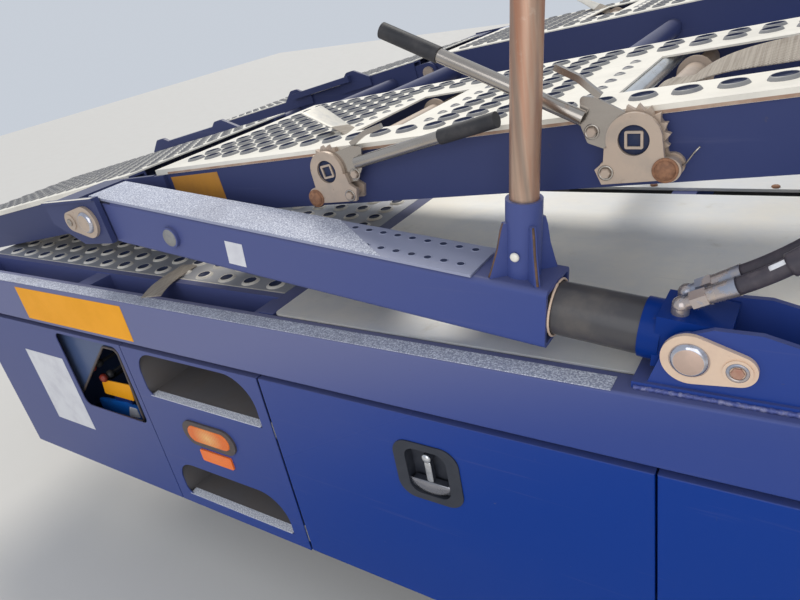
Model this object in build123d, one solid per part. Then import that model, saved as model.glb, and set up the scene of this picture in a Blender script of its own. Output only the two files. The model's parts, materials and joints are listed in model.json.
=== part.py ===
from build123d import *
import os
from math import atan2, cos, degrees, hypot, radians, sin

# Loading bay section of a two-deck vehicle transporter body, in millimetres.
# +X runs along the vehicle, +Z is up, and Y = 0 is the vehicle's centre plane.
# The near side is at -Y. The origin is the middle of the chassis bolt pattern.

# Overall frame of the section
half_width = 1296
section_left = -1580
section_right = 1650
skirt_bottom = -514
seam = 13

# Lower deck, crossmembers and chassis runners, stacked from the bolt face up
runner_height = 105
runner_flange = 80
runner_wall = 8
runner_outer = 432
mount_hole = 18
mount_pitch_x = 240
mount_edge = 40
crossmember_height = 96
crossmember_width = 60
crossmember_wall = 5
crossmember_places = (-900, -180, 560, 1100)
deck_thickness = 5
deck_top = runner_height + crossmember_height + deck_thickness

# Sills
sill_width = 58
sill_height = 137
sill_wall = 5
sill_radius = 6

# Lower deck plates, as distances in from the skirt's outer face
smooth_left = -146
smooth_right = 1644
smooth_inset = 62
smooth_far = 886
plate_corner = 14
well_edge = 130
well_beam = 21
cross_bar_width = 44
cover_gap = 40
cover_thickness = 8

# Skirt
panel_wall = 3
panel_return = 22
panel_lip = 50
door_gap = 4
step_left = -733
door_left = -198
door_width = 900
door_count = 2
window_left = -1076
window_width = 321
window_height = 273
window_drop = 10
window_radius = 26

# Steps in the skirt
tread_depth = 190
tread_wall = 3
cut_radius = 74
cut_foot = 30
cut_round = 92
upper_cut_left = -682
upper_cut_width = 446
upper_cut_top = 46
upper_cut_height = 147
lower_cut_left = -689
lower_cut_width = 438
lower_cut_top = -343
lower_cut_height = 131

# Marker lamp and reflector on the step panel
lamp_x = -472
lamp_z = -195
lamp_length = 165
lamp_height = 57
grommet_length = 207
grommet_height = 84
lamp_proud = 9
reflector_z = -272
reflector_length = 125
reflector_height = 41
reflector_proud = 5

# Lockers and their drop-down doors
locker_front = 40
locker_depth = 430
locker_wall = 3
door_depth = 24
hinge_inset = 16
hinge_lift = 10
hinge_pin = 8
hinge_tube = 14
hinge_clear = 0.3
knuckle_length = 60
latch_drop = 146
latch_from_left = 444.5
latch_width = 158
latch_height = 155
latch_cup_width = 100
latch_cup_height = 121
latch_cup_depth = 26
latch_wall = 2
latch_bar = 98.5
latch_bar_height = 24
latch_bar_drop = 37
latch_stem_width = 16
latch_stem_length = 74
latch_hub = 11

# Control box behind the window
box_left = -1235
box_right = -740
box_low = -335
box_front = 25
box_depth = 240
box_wall = 3
port_outline = ((-868, 16), (-800, 16), (-812, -250), (-1128, -262), (-1140, -225))
port_radius = 20
valve_spools = ((-1050, -112), (-1010, -146), (-1050, -182), (-1010, -216))
lever_radius = 6
knob_radius = 14
knob_inset = 78

# Lift linkage: foot pin, knuckle and deck hinge in the side view
foot_x = 744
foot_z = 273.5
foot_inset = 84
knuckle_x = -650
knuckle_z = 427.5
deck_hinge_x = 1600
deck_hinge_z = 616
arm_tilt = degrees(atan2(knuckle_z - foot_z, foot_x - knuckle_x))
arm_length = hypot(knuckle_z - foot_z, foot_x - knuckle_x)
deck_tilt = degrees(atan2(deck_hinge_z - knuckle_z, deck_hinge_x - knuckle_x))
deck_length = hypot(deck_hinge_z - knuckle_z, deck_hinge_x - knuckle_x)
flap_tilt = 9.5

# Foot bracket and its flagged pin
bracket_wall = 10
bracket_gap = 96
bracket_radius = 38
bracket_top = 50
bracket_reach = 430
bracket_base = 12
pin_radius = 25
pin_face_radius = 28
pin_clear = 0.3
keeper_length = 132
keeper_width = 82
keeper_tail = 26
keeper_wall = 8
keeper_washer = 20
washer_wall = 3
keeper_angle = -7
knuckle_keeper_angle = 176

# Cylinder
barrel_radius = 46
barrel_wall = 8
barrel_start = 62
barrel_end = 1000
cap_radius = 49
cap_start = 48
cap_end = 80
lug_width = 90
port_block_reach = 46
port_block_top = 49
elbow_back = 28
elbow_rise = 14
fitting_angle = 34
nut_start = 18
nut_length = 24
nut_width = 15
ferrule_length = 42
ferrule_end = 84

# Two hoses a side from the ports back to the deck: X, Z and the shift inboard at each point
hose_radius = 13
hose_spread = 21
hose_lead = 70
hose_route = ((962, 508, 10), (1150, 512, 34), (1290, 372, 44), (1290, 210, 44))
gland_radius = 19
gland_height = 14

# Arm
arm_size = 110
arm_wall = 8
arm_radius = 12
arm_start = 223
arm_end = 1325
cheek_wall = 15
eye_radius = 48
eye_clear = 8
boss_at = 1118
boss_radius = 25
boss_proud = 9
walk_start = 357
walk_end = 1400
walk_plate = 5

# Post and its socket on the arm
post_at = 285
post_radius = 24.15
post_wall = 3.2
post_height = 1100
socket_radius = 30.5
socket_height = 133
socket_clear = 0.3
gusset_wall = 9
gusset_height = 96
gusset_foot = 61
gusset_top = 9

# Upper deck
runway_inset = 200
runway_width = 665
beam_width = 60
beam_half = 60
beam_wall = 6
beam_lug = 20
runway_plate = 4
runway_lip = 10
lip_wall = 3
lip_gap = 0.5
deck_hinge_pin = 20
hinge_post_wall = 12
hinge_post_gap = 5
hinge_post_radius = 44
hinge_post_foot = 160
hinge_post_margin = 10
beam_stop = 70
cross_tube_radius = 30
cross_tube_places = (300, 1250, 2120)
cross_tube_drop = 10
openings = ((1619, 1490), (1035, 640))
opening_near = 330
opening_far = 650

# Knuckle bracket, two plates with a web, from the frame's outer face to the arm's near side
knuckle_left = 170
knuckle_right = 62
knuckle_top = 52
knuckle_low = 60
knuckle_inset = 10
knuckle_wall = 14
knuckle_back = 12
knuckle_lip = 6
knuckle_web = 12
knuckle_roof = 100
doubler_length = 105
doubler_half = 50

# Flap at the left of the upper deck
flap_length = 1450
flap_fork_wall = 12
flap_start = 62
flap_tube_places = (200, 800, 1390)
ear_places = (781, 406)
ear_wall = 12
ear_half = 62
ear_rise = 106
ear_round = 22
ear_bar = 26

# Strap winches on the runway's outer beams: each winch's distance from the hinge, the way
# its handle points along the deck, the handle's rise in degrees, and its length
winches = ((1589, 1, 8.4, 400), (971, -1, 30.5, 462))
winch_height = 22
winch_face = 165
winch_plate = 8
winch_back = 7
plate_round = 42
plate_hole = 24
plate_foot = ((-46, -8), (-50, -30), (-65, -41), (-57, -66), (42, -66), (60, -52), (42, -30), (42, 0))
bolt_places = ((-47, -51, 11), (46, -51, 19))
wheel_radius = 51
wheel_root = 42
wheel_teeth = 18
wheel_gap = 2
wheel_wall = 10
shaft_width = 28
shaft_wall = 4
shaft_hole = 21
drum_radius = 24
flange_radius = 36
shaft_turn = -6
flange_wall = 4
drum_near = 345
drum_far = 635
roller_radius = 16
roller_wall = 3
roller_reach = 4

# Strap of the right-hand winch: its coil, and the route of its run over the plate
strap_width = 75
strap_near = 370
strap_wall = 5
strap_coil = 33
strap_route = ((915, 72), (840, 92), (740, 96), (640, 84), (540, 67.5), (330, 67.5), (130, 67.5))

# Winch handles, drawn with the shaft as origin and the tube along +X
yoke_outline = ((0, -30), (64, -36), (86, -14), (104, 27), (78, 34), (0, 30))
yoke_wall = 5
rivet_place = (63, -19)
rivet_radius = 7
handle_radius = 12
handle_start = 84
grip_radius = 14
grip_length = 112
grip_end = 4
pawl_points = ((76, 36), (118, 48), (160, 50))
pawl_radius = 5


def inset(distance):
    """The Y of a point that lies this far in from the near skirt's outer face."""
    return distance - half_width


def side_plate(outline, near, far):
    """An outline in X and Z, made solid between two insets on the near side."""
    plane = Plane(origin=(0, inset(far), 0), x_dir=(1, 0, 0), z_dir=(0, -1, 0))
    return extrude(plane * outline, amount=far - near)


def along(outline, left, right):
    """A cross-section in Y and Z, made solid from X = left to X = right."""
    plane = Plane(origin=(left, 0, 0), x_dir=(0, 1, 0), z_dir=(1, 0, 0))
    return extrude(plane * outline, amount=right - left)


def flat(outline, low, high):
    """An outline in X and Y, made solid between two heights."""
    return extrude(Plane(origin=(0, 0, low)) * outline, amount=high - low)


def oblong(left, low, right, high):
    """A rectangle by its two corners."""
    return Pos((left + right) / 2, (low + high) / 2) * Rectangle(right - left, high - low)


def rounded(left, low, right, high, radius):
    """A rectangle by its two corners, with round corners."""
    middle = Pos((left + right) / 2, (low + high) / 2)
    return middle * RectangleRounded(right - left, high - low, radius)


def loop_outline(points):
    """A closed straight-sided outline."""
    return make_face(Polyline(*points, close=True))


def cross_pin(x, z, radius, near, far):
    """A round bar across the vehicle, between two insets on the near side."""
    return side_plate(Pos(x, z) * Circle(radius), near, far)


def arc_radii(points):
    """Bend radii at a route's inner points, each as large as its two runs allow."""
    radii = []
    for before, here, after in zip(points, points[1:], points[2:]):
        came, goes = here - before, after - here
        half_turn = radians(came.get_angle(goes) / 2)
        radii.append(0.45 * min(came.length, goes.length) * cos(half_turn) / sin(half_turn))
    return radii


def mirrored(shape):
    """The same piece on the far side."""
    return mirror(shape, about=Plane.XZ)


def group(*shapes):
    """Solids that share a node."""
    return Compound([solid for shape in shapes for solid in shape.solids()])


def both_sides(shape):
    """A near piece and its far twin."""
    return group(shape, mirrored(shape))


def from_foot(shape):
    """Moves a piece drawn with the foot pin as its origin and the arm along -X."""
    return Pos(foot_x, 0, foot_z) * Rot(0, arm_tilt, 0) * shape


def from_hinge(shape):
    """Moves a piece drawn with the deck hinge as its origin and the deck along -X."""
    return Pos(deck_hinge_x, 0, deck_hinge_z) * Rot(0, -deck_tilt, 0) * shape


def from_knuckle(shape):
    """Moves a piece drawn with the knuckle as its origin and the flap along -X."""
    return Pos(knuckle_x, 0, knuckle_z) * Rot(0, -flap_tilt, 0) * shape


# Lower body

def sill():
    """Hollow side rail along the top of the skirt."""
    low = deck_top - sill_height
    outer = rounded(inset(0), low, inset(sill_width), deck_top, sill_radius)
    hole = oblong(inset(sill_wall), low + sill_wall, inset(sill_width - sill_wall), deck_top - sill_wall)
    return along(outer - hole, section_left, section_right)


def crossmembers():
    """Box crossmembers under the lower deck, from sill to sill."""
    low = runner_height
    high = low + crossmember_height
    half = crossmember_width / 2
    reach = half_width - sill_width
    places = [section_left + half, *crossmember_places, section_right - half]
    bars = []
    for place in places:
        outer = oblong(place - half, low, place + half, high)
        wall = crossmember_wall
        hole = oblong(place - half + wall, low + wall, place + half - wall, high - wall)
        bars.append(side_plate(outer - hole, half_width - reach, half_width + reach))
    return group(*bars)


def runners():
    """Two channels that sit on the chassis, with bolt holes through the lower flange."""
    outer = oblong(-runner_outer, 0, -runner_outer + runner_flange, runner_height)
    hollow = oblong(-runner_outer + runner_wall, runner_wall,
                    -runner_outer + runner_flange, runner_height - runner_wall)
    rail = along(outer - hollow, section_left, section_right)
    for x in (-mount_pitch_x / 2, mount_pitch_x / 2):
        spot = Pos(x, -runner_outer + mount_edge, runner_wall / 2)
        rail -= spot * Cylinder(mount_hole / 2, runner_wall * 2)
    return both_sides(rail)


def smooth_deck():
    """Plain plates of the lower deck, one each side of the centre covers."""
    outline = rounded(smooth_left, inset(smooth_inset), smooth_right, inset(smooth_far), plate_corner)
    return both_sides(flat(outline, deck_top - deck_thickness, deck_top))


def centre_covers():
    """Raised cover plates over the driveline."""
    edge = smooth_far + cover_gap
    outline = rounded(smooth_left, inset(edge), smooth_right, -inset(edge), plate_corner)
    low = deck_top - deck_thickness
    return flat(outline, low, low + cover_thickness)


def traction_deck():
    """Perforated plates of the lower deck, left of the cross bar."""
    right = smooth_left - cross_bar_width - 2
    edge = inset(well_edge + well_beam)
    outline = oblong(section_left, edge, right, -edge)
    return flat(outline, deck_top - deck_thickness, deck_top)


def well_beams():
    """Edge beams beside the open wells, and the bar across the deck."""
    low = deck_top - crossmember_height - deck_thickness
    right = smooth_left - cross_bar_width - 1
    outer = oblong(inset(well_edge), low, inset(well_edge + well_beam - 0.5), deck_top)
    beam = along(outer, section_left, right)
    for place in (section_left + crossmember_width / 2, *crossmember_places[:2]):
        half = crossmember_width / 2 + 0.3
        slot = oblong(inset(well_edge) - 1, low - 1, inset(well_edge + well_beam), deck_top - deck_thickness)
        beam -= along(slot, place - half, place + half)
    bar = flat(oblong(smooth_left - cross_bar_width, inset(sill_width), smooth_left - 1, -inset(sill_width)),
               deck_top - deck_thickness, deck_top)
    return group(beam, mirrored(beam), bar)


# Skirt

def skirt_sheet(left, right):
    """A fixed skirt panel: outer skin, folded returns and an upstand to the sill."""
    top = deck_top - sill_height - seam
    profile = oblong(inset(0), skirt_bottom, inset(panel_wall), top)
    profile += oblong(inset(0), top - panel_wall, inset(panel_lip), top)
    profile += oblong(inset(panel_lip - panel_wall), top - panel_wall, inset(panel_lip), top + seam)
    profile += oblong(inset(0), skirt_bottom, inset(panel_return), skirt_bottom + panel_wall)
    return along(profile, left, right)


def window_outline():
    """The window in the skirt's left panel."""
    top = deck_top - sill_height - seam - window_drop
    return rounded(window_left, top - window_height, window_left + window_width, top, window_radius)


def skirt_panels():
    """Fixed panels left of the steps; only the near one has a window."""
    sheet = skirt_sheet(section_left, step_left - door_gap)
    window = side_plate(window_outline(), -1, panel_wall + 1)
    return group(sheet - window, mirrored(sheet))


def step_cut(left, width, top, height):
    """A step's D-shaped cut-out: flat at the bottom, with a small lower left and large upper corners."""
    shape = oblong(left, top - height, left + width, top)
    high_left = shape.vertices().sort_by(Axis.X)[:2].sort_by(Axis.Y)[-1]
    shape = fillet(high_left, cut_radius)
    low_left = shape.vertices().sort_by(Axis.Y)[:2].sort_by(Axis.X)[0]
    shape = fillet(low_left, cut_foot)
    high_right = shape.vertices().sort_by(Axis.X)[-2:].sort_by(Axis.Y)[-1]
    return fillet(high_right, cut_round)


step_cuts = (
    (upper_cut_left, upper_cut_width, upper_cut_top, upper_cut_height),
    (lower_cut_left, lower_cut_width, lower_cut_top, lower_cut_height),
)


def step_panels():
    """Skirt panels with two step cut-outs and the holes for lamp and reflector."""
    sheet = skirt_sheet(step_left, door_left - door_gap)
    for cut in step_cuts:
        sheet -= side_plate(step_cut(*cut), -1, panel_wall + 1)
    lamp_hole = Pos(lamp_x, lamp_z) * SlotOverall(grommet_length - 16, grommet_height - 16)
    sheet -= side_plate(lamp_hole, -1, panel_wall + 1)
    return both_sides(sheet)


def step_pockets():
    """Folded boxes behind the cut-outs, each with a tread as its floor."""
    pockets = []
    for left, width, top, height in step_cuts:
        wall = tread_wall
        ceiling = min(top + wall, deck_top - sill_height - seam - panel_wall)
        outer = oblong(left - wall, top - height - wall, left + width + wall, ceiling)
        hole = oblong(left, top - height, left + width, ceiling - wall)
        tray = side_plate(outer, panel_wall, tread_depth)
        tray -= side_plate(hole, panel_wall - 1, tread_depth - wall)
        pockets.append(tray)
    return group(*[both_sides(tray) for tray in pockets])


def lamp_grommets():
    """Rubber rings that hold the marker lamps in the step panels."""
    rim = Pos(lamp_x, lamp_z) * SlotOverall(grommet_length, grommet_height)
    neck = Pos(lamp_x, lamp_z) * SlotOverall(grommet_length - 16.6, grommet_height - 16.6)
    bore = Pos(lamp_x, lamp_z) * SlotOverall(lamp_length, lamp_height)
    ring = side_plate(rim, -6, 0) + side_plate(neck, 0, 14)
    return both_sides(ring - side_plate(bore, -7, 10))


def marker_lamps():
    """Oval lamps seated in the grommets, each with a domed lens."""
    lens = Pos(lamp_x, lamp_z) * SlotOverall(lamp_length, lamp_height)
    body = side_plate(lens, -lamp_proud, 10)
    edges = body.faces().sort_by(Axis.Y)[0].edges()
    return both_sides(fillet(edges, 5))


def side_reflectors():
    """Flat reflectors under the lamps."""
    left = lamp_x - reflector_length / 2
    low = reflector_z - reflector_height / 2
    outline = rounded(left, low, left + reflector_length, low + reflector_height, 6)
    return both_sides(side_plate(outline, -reflector_proud, 0))


def control_box():
    """Steel box behind the window, with a slanting round-cornered port in its front."""
    top = deck_top - sill_height - seam - panel_wall
    back = box_front + box_depth
    box = side_plate(oblong(box_left, box_low, box_right, top), box_front, back)
    wall = box_wall
    inside = oblong(box_left + wall, box_low + wall, box_right - wall, top - wall)
    box -= side_plate(inside, box_front + wall, back - wall)
    face = loop_outline(port_outline)
    port = fillet(face.vertices(), port_radius)
    return box - side_plate(port, box_front - 1, box_front + wall + 1)


def control_levers():
    """Valve bank inside the control box, with a knobbed lever on each spool."""
    back = box_front + box_depth - box_wall
    across = [x for x, z in valve_spools]
    rise = [z for x, z in valve_spools]
    edge = 3 * knob_radius
    block = oblong(min(across) - edge, min(rise) - edge, max(across) + edge, max(rise) + edge)
    bank = side_plate(block, back - box_depth / 3, back)
    for x, z in valve_spools:
        bank += cross_pin(x, z, lever_radius, knob_inset, back - box_depth / 3 + 1)
        bank += Pos(x, inset(knob_inset), z) * Sphere(knob_radius)
    return bank


# Lockers and doors

def door_span(number):
    """Left and right edges of a locker door in its own gap."""
    left = door_left + number * door_width
    return left + door_gap / 2, left + door_width - door_gap / 2


def hinge_line():
    """Height of the door hinge above the skirt's lower edge."""
    return skirt_bottom + door_gap + hinge_lift


def knuckles(left, right):
    """Middles of a door's hinges along X."""
    return [left + 130, (left + right) / 2, right - 130]


def lockers():
    """Steel lockers hung from the sills, each with two bays and hinge arms for the doors."""
    top = deck_top - sill_height
    low = skirt_bottom + door_gap + 2
    right = door_left + door_count * door_width
    wall = locker_wall
    shell = side_plate(oblong(door_left, low, right, top), locker_front, locker_front + locker_depth)
    for number in range(door_count):
        left_in = door_left + number * door_width + wall
        right_in = left_in + door_width - 2 * wall
        bay = oblong(left_in, low + wall, right_in, top - wall)
        shell -= side_plate(bay, locker_front - 1, locker_front + locker_depth - wall)
    for number in range(door_count):
        for middle in knuckles(*door_span(number)):
            for side in (-1, 1):
                x = middle + side * (knuckle_length / 2 + 12)
                arm = oblong(inset(hinge_inset), low, inset(locker_front + 1), hinge_line() + 4)
                arm += Pos(inset(hinge_inset), hinge_line()) * Circle(hinge_tube / 2)
                shell += along(arm, x - 10, x + 10)
            pin = Pos(inset(hinge_inset), hinge_line()) * Circle(hinge_pin / 2)
            shell += along(pin, middle - knuckle_length / 2 - 12, middle + knuckle_length / 2 + 12)
    return both_sides(shell)


def locker_door(number):
    """A drop-down door: a folded pan with hinge tubes along its lower edge."""
    left, right = door_span(number)
    top = deck_top - sill_height - seam
    low = skirt_bottom + door_gap
    wall = panel_wall
    outer = side_plate(oblong(left, low, right, top), 0, door_depth)
    rim = outer.faces().sort_by(Axis.Y)[0].edges()
    outer = fillet(rim, 2.5)
    door = outer - side_plate(oblong(left + wall, low + wall, right - wall, top - wall), wall, door_depth + 1)
    for middle in knuckles(left, right):
        reach = knuckle_length / 2 + 26
        notch = oblong(inset(wall + 1), low - 1, inset(door_depth + 1), hinge_line() + hinge_tube)
        door -= along(notch, middle - reach, middle + reach)
        leaf = oblong(inset(wall - 0.5), hinge_line() - 5, inset(hinge_inset), hinge_line() + 5)
        leaf += Pos(inset(hinge_inset), hinge_line()) * Circle(hinge_tube / 2)
        leaf -= Pos(inset(hinge_inset), hinge_line()) * Circle(hinge_pin / 2 + hinge_clear)
        door += along(leaf, middle - knuckle_length / 2, middle + knuckle_length / 2)
    cup_x = left - door_gap / 2 + latch_from_left
    cup_z = top - latch_drop
    cup = Pos(cup_x, cup_z) * RectangleRounded(latch_cup_width + 10, latch_cup_height + 10, 30)
    return door - side_plate(cup, -1, wall + 1)


def door_latch(number):
    """Recessed latch: a rounded cup let into the door, with a folding T handle in it."""
    left, right = door_span(number)
    cup_x = left - door_gap / 2 + latch_from_left
    cup_z = deck_top - sill_height - seam - latch_drop
    middle = Pos(cup_x, cup_z)
    flange = side_plate(middle * RectangleRounded(latch_width, latch_height, 40), -3, 0)
    cup = middle * RectangleRounded(latch_cup_width + 9, latch_cup_height + 9, 30)
    tub = side_plate(cup, 0, latch_cup_depth)
    hollow = side_plate(middle * RectangleRounded(latch_cup_width, latch_cup_height, 26), -4,
                        latch_cup_depth - latch_wall)
    stem_low = latch_stem_length / 2 - latch_bar_drop
    stem = side_plate(middle * Pos(0, stem_low) * Rectangle(latch_stem_width, latch_stem_length), 4, 14)
    hub_place = middle * Pos(0, latch_stem_length - latch_bar_drop)
    hub = side_plate(hub_place * Circle(latch_hub), 2, latch_cup_depth)
    bar = side_plate(middle * Pos(0, -latch_bar_drop) * SlotOverall(latch_bar, latch_bar_height), 2, 16)
    return flange + tub - hollow + stem + hub + bar


# Foot brackets and pins

def foot_bracket_outline():
    """Side view of a foot bracket plate, round about the pin and sloping away to the right."""
    base = deck_top
    top = foot_z + bracket_top
    outline = loop_outline([
        (foot_x - 66, base), (foot_x - bracket_radius * 0.92, foot_z + 12), (foot_x, foot_z + bracket_radius),
        (foot_x + 30, top), (foot_x + 92, top), (foot_x + 150, top - 16), (foot_x + bracket_reach, base + 40),
        (foot_x + bracket_reach, base),
    ])
    return outline + Pos(foot_x, foot_z) * Circle(bracket_radius)


def foot_brackets():
    """Two plates on a base pad, welded to sill and deck at each side."""
    half = bracket_gap / 2
    plates = []
    hole = Pos(foot_x, foot_z) * Circle(pin_radius + pin_clear)
    for near in (foot_inset - half - bracket_wall, foot_inset + half):
        plates.append(side_plate(foot_bracket_outline() - hole, near, near + bracket_wall))
    low = foot_inset - half - bracket_wall - 6
    high = foot_inset + half + bracket_wall + 6
    base = flat(oblong(foot_x - 84, inset(low), foot_x + bracket_reach + 6, inset(high)),
                deck_top, deck_top + bracket_base)
    bracket = base + plates[0] + plates[1]
    return both_sides(bracket)


def keeper(x, z, angle, near):
    """Teardrop keeper plate with its locking bolt, lying on a bracket's outer face."""
    big = keeper_width / 2
    span = keeper_length - big - keeper_tail
    body = make_hull((Circle(big) + Pos(span, 0) * Circle(keeper_tail)).edges())
    washer = Pos(span, 0) * Circle(keeper_washer)
    plate = side_plate(Pos(x, z) * Rot(0, 0, angle) * body, near - keeper_wall, near)
    face = near - keeper_wall
    return plate + side_plate(Pos(x, z) * Rot(0, 0, angle) * washer, face - washer_wall, face)


def flagged_pin(x, z, angle, near, far):
    """A pin with a chamfered face and a keeper plate, from one inset to another."""
    face = near - keeper_wall - 7
    shaft = cross_pin(x, z, pin_radius, near, far)
    head = cross_pin(x, z, pin_face_radius, face, near)
    rim = head.faces().sort_by(Axis.Y)[0].edges()
    head = chamfer(rim, 6)
    return shaft + head + keeper(x, z, angle, near)


def foot_pins():
    """Flagged pins through the foot brackets and the cylinder lugs."""
    near = foot_inset - bracket_gap / 2 - bracket_wall
    far = foot_inset + bracket_gap / 2 + bracket_wall + 8
    return both_sides(flagged_pin(foot_x, foot_z, keeper_angle, near, far))


def hinge_posts():
    """Clevis posts at the right end that carry the upper deck's hinge pins."""
    posts = []
    for start in (runway_inset, runway_inset + runway_width - beam_width):
        low = start - hinge_post_gap - hinge_post_wall
        high = start + beam_width + hinge_post_gap
        for near in (low, high):
            left, right = deck_hinge_x - hinge_post_radius, deck_hinge_x + hinge_post_radius
            outline = loop_outline([(deck_hinge_x - hinge_post_foot, deck_top), (left, deck_hinge_z),
                                    (right, deck_hinge_z), (right, deck_top)])
            outline += Pos(deck_hinge_x, deck_hinge_z) * Circle(hinge_post_radius)
            outline -= Pos(deck_hinge_x, deck_hinge_z) * Circle(deck_hinge_pin)
            posts.append(side_plate(outline, near, near + hinge_post_wall))
    return posts


def hinge_stands():
    """The posts with the foot plates that join each pair."""
    plates = hinge_posts()
    stands = []
    for number, start in enumerate((runway_inset, runway_inset + runway_width - beam_width)):
        reach = hinge_post_gap + hinge_post_wall + hinge_post_margin
        low, high = start - reach, start + beam_width + reach
        left = deck_hinge_x - hinge_post_foot - hinge_post_margin
        right = deck_hinge_x + hinge_post_radius + 2
        foot = flat(oblong(left, inset(low), right, inset(high)), deck_top, deck_top + bracket_base)
        stands.append(foot + plates[2 * number] + plates[2 * number + 1])
    return group(*[both_sides(stand) for stand in stands])


def hinge_pins():
    """Pins in the hinge stands, on which the upper deck turns."""
    pins = []
    for start in (runway_inset, runway_inset + runway_width - beam_width):
        near = start - hinge_post_gap - hinge_post_wall - 5
        far = start + beam_width + hinge_post_gap + hinge_post_wall + 5
        pins.append(both_sides(cross_pin(deck_hinge_x, deck_hinge_z, deck_hinge_pin, near, far)))
    return group(*pins)


# Lift arms, drawn about the foot pin

def cylinder_barrel():
    """Black barrel that the arm slides over."""
    plane = Plane(origin=(-barrel_start, inset(foot_inset), 0), x_dir=(0, 1, 0), z_dir=(-1, 0, 0))
    ring = Circle(barrel_radius) - Circle(barrel_radius - barrel_wall)
    return from_foot(extrude(plane * ring, amount=barrel_end - barrel_start))


def cylinder_cap():
    """Base of the cylinder: a round cap, and a lug on the foot pin with the port block on top."""
    plane = Plane(origin=(-cap_start, inset(foot_inset), 0), x_dir=(0, 1, 0), z_dir=(-1, 0, 0))
    cap = extrude(plane * Circle(cap_radius), amount=cap_end - cap_start)
    seat = Plane(origin=(-barrel_start, inset(foot_inset), 0), x_dir=(0, 1, 0), z_dir=(-1, 0, 0))
    cap -= extrude(seat * Circle(barrel_radius), amount=cap_end)
    outline = oblong(-cap_start - 8, -40, 0, port_block_top)
    outline += Circle(43)
    outline += loop_outline([(0, 0), (port_block_reach, 16), (port_block_reach, port_block_top),
                             (0, port_block_top)])
    outline -= Circle(pin_radius + pin_clear)
    half = lug_width / 2
    lug = side_plate(outline, foot_inset - half, foot_inset + half)
    return from_foot(cap + lug)


def port_fittings():
    """Two elbows on the port block, each with a hex nut and a tapered ferrule."""
    fittings = []
    for across in (-hose_spread, hose_spread):
        y = inset(foot_inset + across)
        low = port_block_top
        foot = Pos(-elbow_back, y, low + elbow_rise / 2) * Cylinder(13, elbow_rise)
        bend = Pos(-elbow_back, y, low + elbow_rise) * Sphere(13.5)
        start = Pos(-elbow_back, y, low + elbow_rise) * Rot(0, 90 - fitting_angle, 0)
        neck = start * Pos(0, 0, 12) * Cylinder(10, 24)
        nut = start * Pos(0, 0, nut_start) * extrude(RegularPolygon(nut_width, 6), amount=nut_length)
        taper = start * Pos(0, 0, ferrule_end - ferrule_length / 2) * Cone(12.5, 14.5, ferrule_length)
        fittings.append(foot + bend + neck + nut + taper)
    return from_foot(group(*fittings))


def ferrule_tip(across):
    """Where a hose leaves its ferrule, in the side view, with the way that it points."""
    start = Pos(-elbow_back, inset(foot_inset + across), port_block_top + elbow_rise)
    tip = Pos(foot_x, 0, foot_z) * Rot(0, arm_tilt, 0) * start * Rot(0, 90 - fitting_angle, 0)
    return (tip * Pos(0, 0, ferrule_end)).position, (tip * Pos(0, 0, ferrule_end + hose_lead)).position


def hoses():
    """Two hoses from the ports, over the foot bracket and down into the deck."""
    pair = []
    for across in (-hose_spread, hose_spread):
        start, ahead = ferrule_tip(across)
        y = inset(foot_inset + across)
        points = [start, ahead] + [Vector(x, y + shift, z) for x, z, shift in hose_route]
        radii = arc_radii(points)
        print("hose arc radii", [round(radius) for radius in radii])
        path = FilletPolyline(*points, radius=radii)
        section = Plane(origin=start, z_dir=ahead - start) * Circle(hose_radius)
        end = points[-1]
        gland = flat(Pos(end.X, end.Y) * Circle(gland_radius), deck_top, deck_top + gland_height)
        pair.append(sweep(section, path=path) + gland)
    return both_sides(group(*pair))


def arm():
    """Square arm with an open right end, two eye cheeks at the left and the post socket on top."""
    half = arm_size / 2
    plane = Plane(origin=(-arm_start, inset(foot_inset), 0), x_dir=(0, 1, 0), z_dir=(-1, 0, 0))
    tube = RectangleRounded(arm_size, arm_size, arm_radius)
    tube -= RectangleRounded(arm_size - 2 * arm_wall, arm_size - 2 * arm_wall, arm_radius - arm_wall + 1)
    body = extrude(plane * tube, amount=arm_end - arm_start)
    for side in (-1, 1):
        outer = foot_inset + side * half
        inner = outer - side * cheek_wall
        cheek = oblong(-arm_length, -eye_radius, -arm_end + 40, eye_radius)
        cheek += Pos(-arm_length, 0) * Circle(eye_radius)
        cheek -= Pos(-arm_length, 0) * Circle(pin_radius + eye_clear)
        body += side_plate(cheek, min(outer, inner), max(outer, inner))
        boss = Pos(-boss_at, 0) * Circle(boss_radius)
        face = outer + side * boss_proud
        body += side_plate(boss, min(outer, face), max(outer, face))
    return body


def arm_with_socket():
    """The arm and the socket that holds the post, welded in one."""
    half = arm_size / 2
    y = inset(foot_inset)
    body = arm()
    tube = Cylinder(socket_radius, socket_height + 4) - Cylinder(post_radius + socket_clear, socket_height + 6)
    body += Pos(-post_at, y, half + socket_height / 2 - 2) * tube
    inner = socket_radius - 3
    tip = socket_radius + gusset_top
    fin = loop_outline([(inner, 0), (gusset_foot, 0), (gusset_foot - 4, 12), (tip + 7, gusset_height / 2),
                        (tip + 1, gusset_height - 14), (tip - 3, gusset_height), (inner, gusset_height)])
    for turn in (45, 135, 225, 315):
        plane = Plane(origin=(0, gusset_wall / 2, 0), x_dir=(1, 0, 0), z_dir=(0, -1, 0))
        gusset = extrude(plane * fin, amount=gusset_wall)
        body += Pos(-post_at, y, half) * Rot(0, 0, turn) * gusset
    return from_foot(body)


def walkway():
    """Walkway plate on top of the arm."""
    half = arm_size / 2
    y = inset(foot_inset)
    outline = oblong(-walk_end, y - half, -walk_start, y + half)
    return from_foot(flat(outline, half, half + walk_plate))


def post():
    """Steel tube that stands in the arm's socket."""
    tube = Cylinder(post_radius, post_height) - Cylinder(post_radius - post_wall, post_height + 2)
    half = arm_size / 2
    return from_foot(Pos(-post_at, inset(foot_inset), half + post_height / 2) * tube)


# Upper deck, drawn about the deck hinge

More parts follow.
